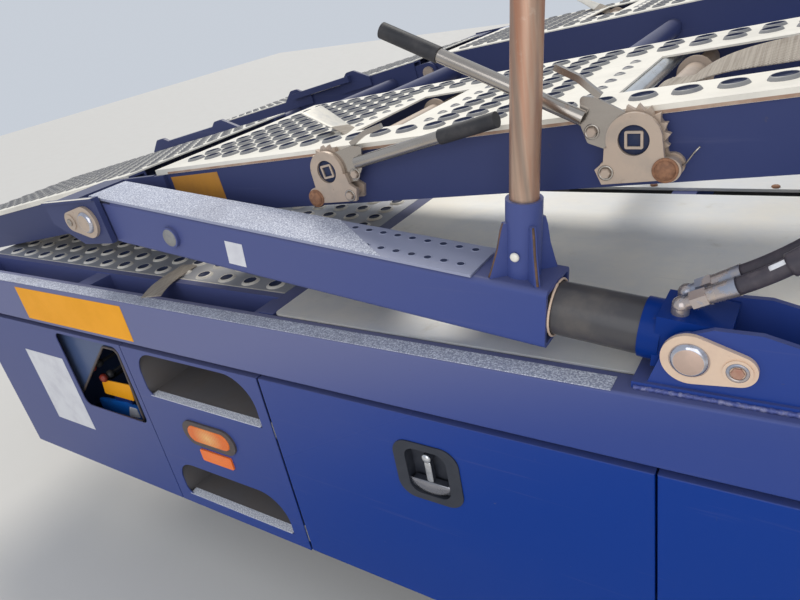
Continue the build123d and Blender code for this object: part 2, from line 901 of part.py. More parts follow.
def runway_beam(start, left, right):
    """Hollow beam of the upper deck between two distances from the hinge."""
    outer = oblong(inset(start), -beam_half, inset(start + beam_width), beam_half)
    wall = beam_wall
    inner = oblong(inset(start + wall), -beam_half + wall, inset(start + beam_width - wall), beam_half - wall)
    return along(outer - inner, -left, -right)


def runway_frames():
    """Outer and inner beams of each runway, with hinge ends and knuckle lugs."""
    frames = []
    for start in (runway_inset, runway_inset + runway_width - beam_width):
        beam = runway_beam(start, deck_length - beam_stop, beam_stop)
        hinge_end = oblong(-beam_stop - 30, -beam_half + 8, 0, beam_half - 8) + Circle(beam_half - 8)
        hinge_end -= Circle(deck_hinge_pin + pin_clear)
        beam += side_plate(hinge_end, start, start + beam_width)
        middle = start + beam_width / 2
        lug = oblong(-deck_length, -40, -deck_length + beam_stop + 3, 40) + Pos(-deck_length, 0) * Circle(40)
        lug -= Pos(-deck_length, 0) * Circle(pin_radius + pin_clear)
        beam += side_plate(lug, middle - beam_lug / 2, middle + beam_lug / 2)
        cap_end_plate = oblong(inset(start), -beam_half, inset(start + beam_width), beam_half)
        beam += along(cap_end_plate, -deck_length + beam_stop, -deck_length + beam_stop + beam_wall)
        frames.append(beam)
    return frames


def knuckle_outline():
    """Side view of the knuckle bracket's plates about the deck hinge."""
    left, right = -deck_length - knuckle_left, -deck_length + knuckle_right
    return loop_outline([(left, knuckle_top), (right, knuckle_top), (right, -knuckle_low),
                         (-deck_length - knuckle_low, -knuckle_low), (left, 0)])


def upper_deck_frame():
    """One weldment: four beams, cross tubes from side to side and the knuckle brackets."""
    beams = runway_frames()
    body = beams[0] + beams[1]
    for place in cross_tube_places:
        tube = Pos(-place, -cross_tube_drop) * Circle(cross_tube_radius)
        body += side_plate(tube, runway_inset + beam_width - 3, half_width)
    for place, way, angle, reach in winches:
        shaft_way = Pos(-place, winch_height) * Circle(shaft_hole)
        body -= side_plate(shaft_way, runway_inset - 1, runway_inset + beam_width + 1)
    bore = Pos(-deck_length, 0) * Circle(pin_radius + pin_clear)
    near_plate = side_plate(knuckle_outline() - bore, knuckle_inset, knuckle_inset + knuckle_wall)
    doubler = oblong(-deck_length, -doubler_half, -deck_length + doubler_length, doubler_half)
    long_plate = knuckle_outline() + doubler
    back_plate = side_plate(long_plate - bore, runway_inset - knuckle_back, runway_inset)
    left, right = -deck_length - knuckle_left, -deck_length + knuckle_right
    web = side_plate(oblong(left, 0, left + knuckle_web, knuckle_top), knuckle_inset, runway_inset)
    lip = side_plate(oblong(left - 4, knuckle_top, right, knuckle_top + knuckle_lip),
                     knuckle_inset - 6, knuckle_inset + knuckle_wall)
    roof = side_plate(oblong(left - 4, knuckle_top - knuckle_lip, left + knuckle_roof, knuckle_top),
                      knuckle_inset, runway_inset)
    body += near_plate + back_plate + web + roof + lip
    return from_hinge(body + mirrored(body))


def knuckle_pins():
    """Flagged pins that join arm, deck and flap on one line."""
    far = runway_inset + beam_width + 6
    pin = flagged_pin(-deck_length, 0, knuckle_keeper_angle, knuckle_inset, far)
    start = runway_inset + runway_width - beam_width
    inner = cross_pin(-deck_length, 0, pin_radius, start - 6, start + beam_width + 6)
    return from_hinge(group(both_sides(pin), both_sides(inner)))


def lipped_plate(left, right, near, far):
    """A traction plate from inset near to far, with its near edge folded down over the beam."""
    top = beam_half + runway_plate
    edge = near - lip_gap - lip_wall
    plate = flat(oblong(left, inset(edge), right, inset(far)), beam_half, top)
    fold = oblong(inset(edge), beam_half - runway_lip, inset(near - lip_gap), top)
    return plate + along(fold, left, right)


def deck_traction_plates():
    """Traction plates on the runways, each with two winch openings."""
    plate = lipped_plate(-deck_length + beam_stop, -beam_stop, runway_inset, runway_inset + runway_width)
    for left, right in openings:
        plate -= flat(oblong(-left, inset(opening_near), -right, inset(opening_far)), 0, 2 * beam_half)
    return from_hinge(both_sides(plate))


def edge_rollers():
    """A pipe under the left edge of each right-hand opening, for the strap to run over."""
    middle = Pos(-openings[1][0] + roller_reach, beam_half - roller_radius - 0.3)
    pipe = middle * (Circle(roller_radius) - Circle(roller_radius - roller_wall))
    inner_beam = runway_inset + runway_width - beam_width
    return from_hinge(both_sides(side_plate(pipe, runway_inset + beam_width + 0.3, inner_beam - 0.3)))


# Flap, drawn about the knuckle

def flap_frame():
    """Beams of the flap, each with a fork on the knuckle pin."""
    body = []
    for start in (runway_inset + 5, runway_inset + runway_width - beam_width):
        width = beam_width - 5 if start == runway_inset + 5 else beam_width
        outer = oblong(inset(start), -beam_half, inset(start + width), beam_half)
        inner = oblong(inset(start + beam_wall), -beam_half + beam_wall, inset(start + width - beam_wall),
                       beam_half - beam_wall)
        beam = along(outer - inner, -flap_length, -flap_start)
        middle = runway_inset + beam_width / 2 if start == runway_inset + 5 else start + beam_width / 2
        for near in (middle - beam_lug / 2 - 3 - flap_fork_wall, middle + beam_lug / 2 + 3):
            ear = oblong(-flap_start - 20, -40, 0, 40) + Circle(40) - Circle(pin_radius + pin_clear)
            beam += side_plate(ear, near, near + flap_fork_wall)
        body.append(beam)
    joined = body[0] + body[1]
    for place in flap_tube_places:
        tube = Pos(-place, -10) * Circle(cross_tube_radius)
        joined += side_plate(tube, runway_inset + beam_width - 3, half_width)
    inner_face = runway_inset + runway_width
    low = 20
    for place in ear_places:
        ear = loop_outline([(-place - ear_half - 16, low), (-place - ear_half - 16, beam_half),
                            (-place - 20, ear_rise), (-place + 20, ear_rise),
                            (-place + ear_half + 40, beam_half), (-place + ear_half + 40, low)])
        ear = fillet(ear.vertices().sort_by(Axis.Y)[-2:], ear_round)
        joined += side_plate(ear, inner_face - 1, inner_face + ear_wall)
    bar = oblong(-ear_places[0], beam_half + 4, -ear_places[1], beam_half + 4 + ear_bar)
    joined += side_plate(bar, inner_face, inner_face + ear_wall + ear_bar)
    return from_knuckle(joined + mirrored(joined))


def flap_plates():
    """Traction plates of the flap."""
    plate = lipped_plate(-flap_length, -flap_start, runway_inset + 5, runway_inset + runway_width - 2)
    return from_knuckle(both_sides(plate))


# Strap winches on the outer beams, each drawn with its shaft as origin and its small bolt at -X

def at_winch(outline, winch):
    """Moves a winch outline to its place, turned round where the handle points the other way."""
    place, way, angle, reach = winch
    if way > 0:
        outline = mirror(outline, about=Plane.YZ)
    return Pos(-place, winch_height) * outline


def at_handle(outline, winch):
    """Moves an outline drawn along the handle to its place and rise."""
    return at_winch(Rot(0, 0, 180 - winch[2]) * mirror(outline, about=Plane.XZ), winch)


def winch_plates():
    """A front plate, a back plate and the bolts' spacers for each winch."""
    brackets = []
    back_near = runway_inset - winch_back
    for winch in winches:
        shape = Circle(plate_round) + loop_outline(plate_foot)
        for x, y, radius in bolt_places:
            shape += Pos(x, y) * Circle(radius)
        shape -= Circle(plate_hole)
        front = at_winch(shape, winch)
        low_edge, high_edge = -beam_half, beam_half - runway_lip - 0.3
        below_lip = Pos(-winch[0]) * oblong(-2 * plate_round, low_edge, 2 * plate_round, high_edge)
        bracket = side_plate(front, winch_face, winch_face + winch_plate)
        bracket += side_plate(front & below_lip, back_near, runway_inset)
        for x, y, radius in bolt_places:
            spacer = at_winch(Pos(x, y) * Circle(radius - 3), winch)
            bracket += side_plate(spacer, winch_face, runway_inset)
        brackets.append(both_sides(bracket))
    return from_hinge(group(*brackets))


def winch_wheels():
    """Ratchet wheel, square socket, shaft and spool of each winch, on one axis."""
    wheels = []
    low = winch_face + winch_plate + yoke_wall + wheel_gap
    for winch in winches:
        points = []
        for tooth in range(wheel_teeth):
            tip = radians(360 * tooth / wheel_teeth)
            root = radians(360 * (tooth + 0.3) / wheel_teeth)
            points.append((wheel_radius * cos(tip), wheel_radius * sin(tip)))
            points.append((wheel_root * cos(root), wheel_root * sin(root)))
        wheel = side_plate(at_winch(loop_outline(points), winch), low, low + wheel_wall)
        socket = RectangleRounded(shaft_width, shaft_width, 3)
        hollow = Rectangle(shaft_width - 2 * shaft_wall, shaft_width - 2 * shaft_wall)
        turned = Rot(0, 0, shaft_turn)
        wheel += side_plate(at_winch(turned * socket, winch), winch_face + 2, low)
        inner_beam = runway_inset + runway_width - beam_width
        wheel += side_plate(at_winch(Circle(shaft_hole - 3), winch), low, inner_beam)
        wheel += side_plate(at_winch(Circle(drum_radius), winch), drum_near, drum_far)
        for near in (drum_near, drum_far - flange_wall):
            wheel += side_plate(at_winch(Circle(flange_radius), winch), near, near + flange_wall)
        wheel -= side_plate(at_winch(turned * hollow, winch), winch_face, low + wheel_wall)
        wheels.append(both_sides(wheel))
    return from_hinge(group(*wheels))


def winch_straps():
    """Webbing wound on the right-hand spools and laid out over the plate."""
    place = winches[1][0]
    far = strap_near + strap_width
    coil = Pos(-place, winch_height) * (Circle(strap_coil) - Circle(drum_radius + 0.3))
    start = (-place, winch_height + strap_coil - strap_wall / 2)
    route = [start, *[(-u, v) for u, v in strap_route]]
    strap = side_plate(coil, strap_near, far)
    strap += side_plate(trace(Polyline(*route), strap_wall), strap_near, far)
    return from_hinge(both_sides(strap))


def handle_tube(winch, start, end, outer, inner, near):
    """A round tube along the handle from start to end, with its middle at an inset."""
    place, way, angle, reach = winch
    run = Vector(way * cos(radians(angle)), 0, sin(radians(angle)))
    origin = Vector(-place, inset(near), winch_height)
    ring = Circle(outer) - Circle(inner) if inner else Circle(outer)
    return extrude(Plane(origin=origin + run * start, x_dir=(0, 1, 0), z_dir=run) * ring, amount=end - start)


def winch_handles():
    """A yoke on each shaft with a rivet, the handle's tube and the pawl's pull rod."""
    handles = []
    near = winch_face + winch_plate
    for winch in winches:
        shape = fillet(loop_outline(yoke_outline).vertices(), 6) + Circle(plate_hole + 8)
        yoke = side_plate(at_handle(shape - Circle(shaft_width / 2 * 1.42), winch), near, near + yoke_wall)
        rivet = at_handle(Pos(*rivet_place) * Circle(rivet_radius), winch)
        yoke += side_plate(rivet, near - 5, near)
        tube_inset = near + yoke_wall - handle_radius
        yoke += handle_tube(winch, handle_start, winch[3], handle_radius, handle_radius - 3, tube_inset)
        rod = at_handle(trace(Polyline(*pawl_points), 2 * pawl_radius), winch)
        yoke += side_plate(rod, near - pawl_radius, near + yoke_wall)
        handles.append(both_sides(yoke))
    return from_hinge(group(*handles))


def winch_grips():
    """Rubber grips on the ends of the handles."""
    near = winch_face + winch_plate + yoke_wall - handle_radius
    grips = []
    for winch in winches:
        start, end = winch[3] - grip_length, winch[3]
        grip = handle_tube(winch, start, end + grip_end, grip_radius, 0, near)
        grip -= handle_tube(winch, start - 1, end + 0.2, handle_radius + 0.2, 0, near)
        grips.append(both_sides(grip))
    return from_hinge(group(*grips))


nodes = {
    "sills": both_sides(sill()),
    "crossmembers": crossmembers(),
    "chassis_runners": runners(),
    "smooth_deck_plates": smooth_deck(),
    "centre_cover_plates": centre_covers(),
    "traction_deck_plates": traction_deck(),
    "well_beams": well_beams(),
    "skirt_panels": skirt_panels(),
    "step_panels": step_panels(),
    "step_pockets": step_pockets(),
    "lamp_grommets": lamp_grommets(),
    "marker_lamps": marker_lamps(),
    "side_reflectors": side_reflectors(),
    "control_box": control_box(),
    "control_levers": control_levers(),
    "lockers": lockers(),
    "foot_brackets": foot_brackets(),
    "foot_pins": foot_pins(),
    "hoses": hoses(),
    "hinge_stands": hinge_stands(),
    "deck_hinge_pins": hinge_pins(),
    "upper_deck_frame": upper_deck_frame(),
    "deck_traction_plates": deck_traction_plates(),
    "knuckle_pins": knuckle_pins(),
    "flap_frames": flap_frame(),
    "flap_plates": flap_plates(),
    "winch_plates": winch_plates(),
    "winch_wheels": winch_wheels(),
    "winch_handles": winch_handles(),
    "winch_grips": winch_grips(),
    "winch_straps": winch_straps(),
    "edge_rollers": edge_rollers(),
}

# Pieces that a moving body carries on each side
sided = {
    "cylinder_barrel": cylinder_barrel(),
    "cylinder_cap": cylinder_cap(),
    "port_fittings": port_fittings(),
    "lift_arm": arm_with_socket(),
    "arm_walkway": walkway(),
    "post": post(),
    "left_locker_door": locker_door(0),
    "left_door_latch": door_latch(0),
    "right_locker_door": locker_door(1),
    "right_door_latch": door_latch(1),
}
for name, shape in sided.items():
    nodes["near_" + name] = shape
    nodes["far_" + name] = mirrored(shape)

os.makedirs("parts", exist_ok=True)
for name, shape in nodes.items():
    export_step(shape, "parts/" + name + ".step")
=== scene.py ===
# %% [markdown]
# # Loading bay section of a vehicle transporter
# The imported solids already have every real shape and size. This script gives them paint, wear and
# dust, and adds what is too thin or too small for the solids: raised holes, grit tape, blank
# labels, bolt heads, hoses and webbing straps. This first cell loads the solids and gives a way to
# read the box round each.

# %% Load the frame
import json
import math

import bmesh
import bpy
import numpy as np
from mathutils import Matrix, Vector


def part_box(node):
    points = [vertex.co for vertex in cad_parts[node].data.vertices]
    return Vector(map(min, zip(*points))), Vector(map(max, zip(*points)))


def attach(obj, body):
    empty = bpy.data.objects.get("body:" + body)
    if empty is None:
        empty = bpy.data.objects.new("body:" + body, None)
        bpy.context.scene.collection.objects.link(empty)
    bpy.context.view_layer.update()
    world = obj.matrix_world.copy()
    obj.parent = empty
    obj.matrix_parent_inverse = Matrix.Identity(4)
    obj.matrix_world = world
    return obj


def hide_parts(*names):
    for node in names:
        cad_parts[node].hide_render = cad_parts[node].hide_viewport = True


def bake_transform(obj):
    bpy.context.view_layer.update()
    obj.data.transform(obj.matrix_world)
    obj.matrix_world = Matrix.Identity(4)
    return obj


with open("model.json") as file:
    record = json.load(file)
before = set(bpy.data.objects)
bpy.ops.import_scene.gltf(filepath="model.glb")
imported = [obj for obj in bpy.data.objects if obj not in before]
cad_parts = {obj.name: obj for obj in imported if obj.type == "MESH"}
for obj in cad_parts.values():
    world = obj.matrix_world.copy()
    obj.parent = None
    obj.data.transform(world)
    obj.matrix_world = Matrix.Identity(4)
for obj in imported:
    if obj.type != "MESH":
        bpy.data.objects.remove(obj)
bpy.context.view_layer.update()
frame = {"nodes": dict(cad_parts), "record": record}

# %% [markdown]
# The photograph was taken from beside the skirt, a little above the post's foot, looking left and
# down. Three unit vectors give the camera's right side, its top and its back, and the lens gives the
# same width of view.

# %% Camera
camera_place = Vector((0.9, -2.142, 0.8476))
camera_forward = Vector((-0.5398, 0.7155, -0.4433)).normalized()
camera_right = Vector((0.8348, 0.5230, -0.1726))
camera_right = (camera_right - camera_right.dot(camera_forward) * camera_forward).normalized()
camera_up = camera_right.cross(camera_forward)
turn = Matrix((camera_right, camera_up, -camera_forward)).transposed()
camera_data = bpy.data.cameras.new("camera")
camera_data.lens = 29.6
camera_data.sensor_width = 36
camera = bpy.data.objects.new("camera", camera_data)
camera.matrix_world = Matrix.Translation(camera_place) @ turn.to_4x4()
bpy.context.scene.collection.objects.link(camera)
bpy.context.scene.camera = camera
print("camera at", tuple(round(v, 3) for v in camera_place))

# %% [markdown]
# Every finish is built from four effects that repeat: soft patches, dust that has settled on what
# faces up, fine streaks along one direction, and a slow gradient across the whole body that paints in
# a reflection of the sky. Each is a node group, built once, that gives a mask, and each material sets
# its own numbers. They read Object coordinates, which are metres here.

# %% Effects as node groups
def new_group(name, inputs):
    """A shader node group with float inputs and one output, its mask."""
    group = bpy.data.node_groups.new(name, "ShaderNodeTree")
    for label, value in inputs.items():
        socket = group.interface.new_socket(label, in_out="INPUT", socket_type="NodeSocketFloat")
        socket.default_value = value
    group.interface.new_socket("Mask", in_out="OUTPUT", socket_type="NodeSocketFloat")
    return group, group.nodes.new("NodeGroupInput"), group.nodes.new("NodeGroupOutput")


def add_node(tree, kind, settings=(), **values):
    """A node with its settings as attributes, and values for its inputs by name."""
    node = tree.nodes.new("ShaderNode" + kind)
    for label, value in dict(settings).items():
        setattr(node, label, value)
    for label, value in values.items():
        node.inputs[label.replace("_", " ").title()].default_value = value
    return node


def join(tree, *wires):
    """Links sockets: each wire names a node and its output, then a node and its input."""
    for source, output, target, given in wires:
        tree.links.new(source.outputs[output], target.inputs[given])


def feed(tree, socket, value):
    """Links an output to an input socket, or writes a number or a colour into it."""
    if isinstance(value, bpy.types.NodeSocket):
        tree.links.new(value, socket)
    else:
        socket.default_value = (*value, 1) if isinstance(value, tuple) else value


def maths(tree, operation, *values, clamp=False):
    """A Math node whose inputs are sockets or numbers; gives its output."""
    node = add_node(tree, "Math", {"operation": operation, "use_clamp": clamp})
    for socket, value in zip(node.inputs, values):
        feed(tree, socket, value)
    return node.outputs[0]


def patches_group():
    """Mask = noise at a scale, cut between low and high, so only its peaks stay."""
    group, given, result = new_group("patches", {"Scale": 2, "Low": 0.45, "High": 0.6})
    place = add_node(group, "TexCoord")
    noise = add_node(group, "TexNoise", detail=6, roughness=0.62)
    cut = add_node(group, "MapRange", {"interpolation_type": "SMOOTHSTEP"})
    join(group, (place, "Object", noise, "Vector"), (given, "Scale", noise, "Scale"),
         (noise, "Fac", cut, "Value"), (given, "Low", cut, "From Min"), (given, "High", cut, "From Max"),
         (cut, "Result", result, "Mask"))
    return group


def dust_group():
    """Mask = how far the surface faces up, squared, times coarse noise, times the amount."""
    group, given, result = new_group("settled_dust", {"Amount": 0.5, "Scale": 7})
    place = add_node(group, "TexCoord")
    normal = add_node(group, "NewGeometry")
    split = add_node(group, "SeparateXYZ")
    noise = add_node(group, "TexNoise", detail=8, roughness=0.7)
    join(group, (normal, "Normal", split, 0), (place, "Object", noise, "Vector"),
         (given, "Scale", noise, "Scale"))
    up = maths(group, "POWER", maths(group, "MAXIMUM", split.outputs["Z"], 0.0), 2.0)
    uneven = maths(group, "MULTIPLY_ADD", noise.outputs["Fac"], 1.2, 0.5)
    settled = maths(group, "MULTIPLY", maths(group, "MULTIPLY", up, uneven), given.outputs["Amount"],
                    clamp=True)
    group.links.new(settled, result.inputs["Mask"])
    return group


def streaks_group():
    """Mask = noise that is stretched along one axis by its three scales, cut to its peaks."""
    inputs = {"Along X": 1, "Along Y": 1, "Along Z": 1, "Low": 0.5, "High": 0.7}
    group, given, result = new_group("streaks", inputs)
    place = add_node(group, "TexCoord")
    scales = add_node(group, "CombineXYZ")
    stretch = add_node(group, "VectorMath", {"operation": "MULTIPLY"})
    noise = add_node(group, "TexNoise", scale=1, detail=4, roughness=0.6)
    cut = add_node(group, "MapRange")
    join(group, (given, "Along X", scales, 0), (given, "Along Y", scales, 1), (given, "Along Z", scales, 2),
         (place, "Object", stretch, 0), (scales, 0, stretch, 1), (stretch, 0, noise, "Vector"),
         (noise, "Fac", cut, "Value"), (given, "Low", cut, "From Min"), (given, "High", cut, "From Max"),
         (cut, "Result", result, "Mask"))
    return group


def reflection_gradient_group():
    """Mask = a smooth step of a weighted sum of X and Z: a painted sky reflection across the whole body."""
    group, given, result = new_group("reflection_across", {"X": -0.45, "Z": 0.8, "Offset": 0.25, "Width": 0.4})
    place = add_node(group, "TexCoord")
    split = add_node(group, "SeparateXYZ")
    cut = add_node(group, "MapRange", {"interpolation_type": "SMOOTHSTEP"})
    join(group, (place, "Object", split, 0), (given, "Width", cut, "From Max"),
         (cut, "Result", result, "Mask"))
    across = maths(group, "MULTIPLY", split.outputs["X"], given.outputs["X"])
    upward = maths(group, "MULTIPLY", split.outputs["Z"], given.outputs["Z"])
    total = maths(group, "ADD", maths(group, "ADD", across, upward), given.outputs["Offset"])
    group.links.new(total, cut.inputs["Value"])
    group.links.new(maths(group, "MULTIPLY", given.outputs["Width"], -1.0), cut.inputs["From Min"])
    return group


effects = {"patches": patches_group(), "dust": dust_group(), "streaks": streaks_group(), "reflection_gradient": reflection_gradient_group()}
print("effects", list(effects))

# %% [markdown]
# A finish starts from its base colour. Each layer then mixes in another colour through a mask, as
# dust, stains and bare patches lie over paint; some layers are painted reflection or painted shade
# instead. The same masks also change the roughness a little, because dust is dull. A Bump node gives
# the grain.

# %% A finish from layers
finishes = {}


def patches(scale, colour, strength, low=0.4, high=0.7):
    """A layer of soft patches."""
    return "patches", {"Scale": scale, "Low": low, "High": high}, colour, strength


def streaks(scales, colour, strength, low, high):
    """A layer of streaks, with a scale along each axis."""
    along = dict(zip(("Along X", "Along Y", "Along Z"), scales))
    return "streaks", {**along, "Low": low, "High": high}, colour, strength


def masked(tree, effect, numbers):
    """Places an effect in a material with its numbers; gives its mask."""
    return add_node(tree, "Group", {"node_tree": effects[effect]}, **numbers).outputs["Mask"]


def blended(tree, mask, under, over):
    """Colour = under where the mask is 0 and over where it is 1."""
    node = add_node(tree, "Mix", {"data_type": "RGBA"})
    for place, value in (("Factor", mask), (6, under), (7, over)):
        feed(tree, node.inputs[place], value)
    return node.outputs[2]


def emboss(tree, height, distance):
    """A Bump node that lifts the surface by a distance where the height is 1."""
    bump = add_node(tree, "Bump", distance=distance, strength=1)
    feed(tree, bump.inputs["Height"], height)
    join(tree, (bump, 0, tree.nodes["Principled BSDF"], "Normal"))


def finish(name, colour, layers=(), rough=(0.4, 0.6), metallic=0.0, coat=0.0, grain=0.0, grain_scale=300,
           gloss=0.4):
    """A material: layers of (effect, numbers, colour, strength) over a base colour. Its roughness goes
    from the first value where it is bare to the second where a layer covers it."""
    material = finishes[name] = bpy.data.materials.new(name)
    material.use_nodes = True
    tree = material.node_tree
    shader = tree.nodes["Principled BSDF"]
    for label, value in {"Metallic": metallic, "Coat Weight": coat, "Specular IOR Level": gloss,
                         "Coat Roughness": 0.12}.items():
        shader.inputs[label].default_value = value
    under, dull = colour, None
    for effect, numbers, over, strength in layers:
        mask = maths(tree, "MULTIPLY", masked(tree, effect, numbers), strength)
        under = blended(tree, mask, under, over)
        dull = maths(tree, "MAXIMUM", dull, mask) if dull else mask
    feed(tree, shader.inputs["Base Color"], under)
    spread = add_node(tree, "MapRange", to_min=rough[0], to_max=rough[1])
    feed(tree, spread.inputs["Value"], dull or masked(tree, "patches", {"Scale": 6}))
    join(tree, (spread, 0, shader, "Roughness"))
    if grain:
        place = add_node(tree, "TexCoord")
        noise = add_node(tree, "TexNoise", scale=grain_scale, detail=3)
        join(tree, (place, "Object", noise, "Vector"))
        emboss(tree, noise.outputs["Fac"], grain)
    return material


# %% [markdown]
# The body is painted blue. A painted sky reflection makes the paint pale and purplish towards the
# left and the top, while the right-hand doors keep their deep colour. The treads are pale galvanised
# sheet. The plain deck plates are pale and worn, with large blue-grey patches that are painted shade,
# and zinc-plated winch parts have gone beige, with rust in places.

# %% Paint, plate and metal
# painted sky reflection tint: the gradient mixes it in, and so do faint random patches
reflection_tint = (0.115, 0.125, 0.25)
dust_colour = (0.3, 0.27, 0.24)
rust = (0.16, 0.065, 0.028)
paint_wear_and_reflection = [
    patches(1.3, reflection_tint, 0.07, 0.42),
    streaks((2, 60, 60), (0.16, 0.16, 0.26), 0.22, 0.62, 0.8),
    patches(55, (0.1, 0.085, 0.1), 0.55, 0.68, 0.8),
    ("dust", {"Amount": 0.16, "Scale": 9}, dust_colour, 1),
]
blue = (0.003, 0.04, 0.265)
fine_grain = {"grain": 0.00005, "grain_scale": 420}
rubber_grain = {"grain": 0.0001, "grain_scale": 600}
rust_grain = {"grain": 0.0004, "grain_scale": 700}
# blue_paint, door_blue and sill_blue take the painted reflection gradient at different offsets
finish("blue_paint", blue, [("reflection_gradient", {"Offset": 0.02}, reflection_tint, 0.72)] + paint_wear_and_reflection, (0.26, 0.55),
       coat=0.05, gloss=0.18, **fine_grain)
# the sill also has a pale purple band along its upper part, a second painted reflection
finish("sill_blue", blue, [
    ("reflection_gradient", {"Offset": 0.5}, reflection_tint, 0.3),
    ("reflection_gradient", {"X": -0.6, "Z": 2, "Offset": -0.14, "Width": 0.35}, (0.17, 0.18, 0.32), 0.85),
] + paint_wear_and_reflection, (0.26, 0.55), coat=0.05, gloss=0.2, **fine_grain)
finish("door_blue", blue, [("reflection_gradient", {"Offset": -0.07}, reflection_tint, 0.72)] + paint_wear_and_reflection, (0.22, 0.5),
       coat=0.05, gloss=0.14, **fine_grain)
# a darker copy of the blue paint as painted shade on the beams and frames, with its own painted reflection
finish("beam_shade_blue", (0.006, 0.026, 0.15), [("reflection_gradient", {"Offset": 0.0}, (0.07, 0.075, 0.14), 0.6)] + paint_wear_and_reflection,
       (0.26, 0.55), gloss=0.2, **fine_grain)
finish("deep_blue_paint", (0.005, 0.02, 0.115), paint_wear_and_reflection, (0.3, 0.55), grain=0.00005, gloss=0.18)
finish("window_blue", (0.06, 0.095, 0.2), paint_wear_and_reflection[:3], (0.3, 0.55), grain=0.00005, gloss=0.3)
finish("cap_blue", (0.003, 0.03, 0.2), paint_wear_and_reflection[:3], (0.3, 0.55), grain=0.00005, gloss=0.1)
pale_layers = [
    patches(5, (0.55, 0.52, 0.47), 0.55, 0.4, 0.75),
    streaks((4, 70, 4), (0.4, 0.38, 0.35), 0.3, 0.62, 0.78),
    patches(60, (0.26, 0.22, 0.18), 0.5, 0.7, 0.82),
]
finish("traction_plate", (0.86, 0.81, 0.71), pale_layers, (0.42, 0.62), metallic=0.1, grain=0.0001)
finish("walk_plate", (0.32, 0.34, 0.46), pale_layers[1:], (0.42, 0.6), metallic=0.1, grain=0.0001)
# a darker, bluer copy of the tread finish as painted shade under the upper deck; its dust is real
finish("shaded_traction", (0.36, 0.39, 0.46), [
    patches(9, (0.5, 0.5, 0.52), 0.7),
    ("dust", {"Amount": 0.35, "Scale": 12}, dust_colour, 1),
], (0.35, 0.6), metallic=0.3, grain=0.0001)
# the large blue-grey patches are painted shade; the small brown patches and streaks are wear
finish("smooth_plate", (0.92, 0.87, 0.77), [
    patches(2.2, (0.62, 0.66, 0.72), 0.7, 0.35, 0.72),
    patches(12, (0.52, 0.48, 0.4), 0.5, 0.6, 0.8),
    streaks((5, 60, 5), (0.55, 0.54, 0.52), 0.3, 0.6, 0.75),
], (0.34, 0.55), metallic=0.25, grain=0.00006)
finish("zinc_steel", (0.51, 0.4, 0.315), [
    patches(22, (0.38, 0.32, 0.27), 0.6),
    patches(70, rust, 0.6, 0.64, 0.76),
], (0.36, 0.55), metallic=0.2, grain=0.00006)
finish("pin_steel", (0.78, 0.58, 0.43), [
    patches(18, (0.66, 0.48, 0.37), 0.6),
    patches(90, rust, 0.5, 0.66, 0.78),
], (0.3, 0.5), metallic=0.12)
finish("pin_dull", (0.6, 0.43, 0.345), [patches(30, (0.5, 0.37, 0.3), 0.6)], (0.35, 0.55), metallic=0.2)
finish("bolt_rust", (0.42, 0.21, 0.15), [patches(120, (0.52, 0.33, 0.24), 0.7, 0.35, 0.65)],
       (0.45, 0.65), metallic=0.2)
finish("tube_steel", (0.5, 0.35, 0.265), [
    streaks((30, 30, 1.5), (0.46, 0.2, 0.115), 0.8, 0.4, 0.6),
    streaks((45, 45, 2.5), (0.16, 0.15, 0.13), 0.5, 0.5, 0.66),
    patches(40, (0.68, 0.57, 0.48), 0.4, 0.62, 0.76),
], (0.3, 0.48), metallic=0.65)
finish("handle_steel", (0.44, 0.4, 0.36), [
    streaks((6, 60, 12), (0.28, 0.25, 0.22), 0.5, 0.45, 0.65),
    patches(50, (0.5, 0.33, 0.24), 0.5, 0.6, 0.74),
], (0.2, 0.36), metallic=0.9)
finish("rusty_steel", (0.22, 0.105, 0.06), [patches(120, (0.36, 0.18, 0.1), 0.9, 0.35, 0.65)],
       (0.6, 0.85), metallic=0.1, **rust_grain)
finish("barrel_black", (0.06, 0.057, 0.062), [
    patches(14, (0.12, 0.105, 0.095), 0.8, 0.42, 0.75),
    patches(160, (0.12, 0.11, 0.1), 0.6, 0.66, 0.78),
], (0.32, 0.6), coat=0.1)
finish("hose_black", (0.05, 0.043, 0.056), [patches(45, (0.085, 0.07, 0.082), 0.8)], grain=0.0001,
       grain_scale=700)
finish("fitting_steel", (0.46, 0.4, 0.38), [
    patches(26, (0.25, 0.33, 0.47), 0.6, 0.46, 0.56),
    patches(40, (0.56, 0.46, 0.38), 0.7, 0.52, 0.72),
], (0.22, 0.42), metallic=0.7)
finish("polished_steel", (0.52, 0.53, 0.6), [patches(80, (0.3, 0.26, 0.26), 0.6, 0.45)], (0.12, 0.3),
       metallic=0.95)
finish("black_rubber", (0.026, 0.026, 0.03), [patches(30, (0.06, 0.056, 0.058), 0.8)], (0.5, 0.7),
       **rubber_grain)
finish("worn_rubber", (0.085, 0.07, 0.068), [patches(60, (0.14, 0.105, 0.09), 0.6)], (0.5, 0.7),
       **rubber_grain)
finish("latch_black", (0.026, 0.03, 0.042), [patches(30, (0.042, 0.045, 0.058), 0.8)], (0.45, 0.65),
       **rubber_grain)
finish("worn_steel", (0.14, 0.132, 0.136), [patches(9, (0.15, 0.13, 0.12), 0.7)], (0.5, 0.8))
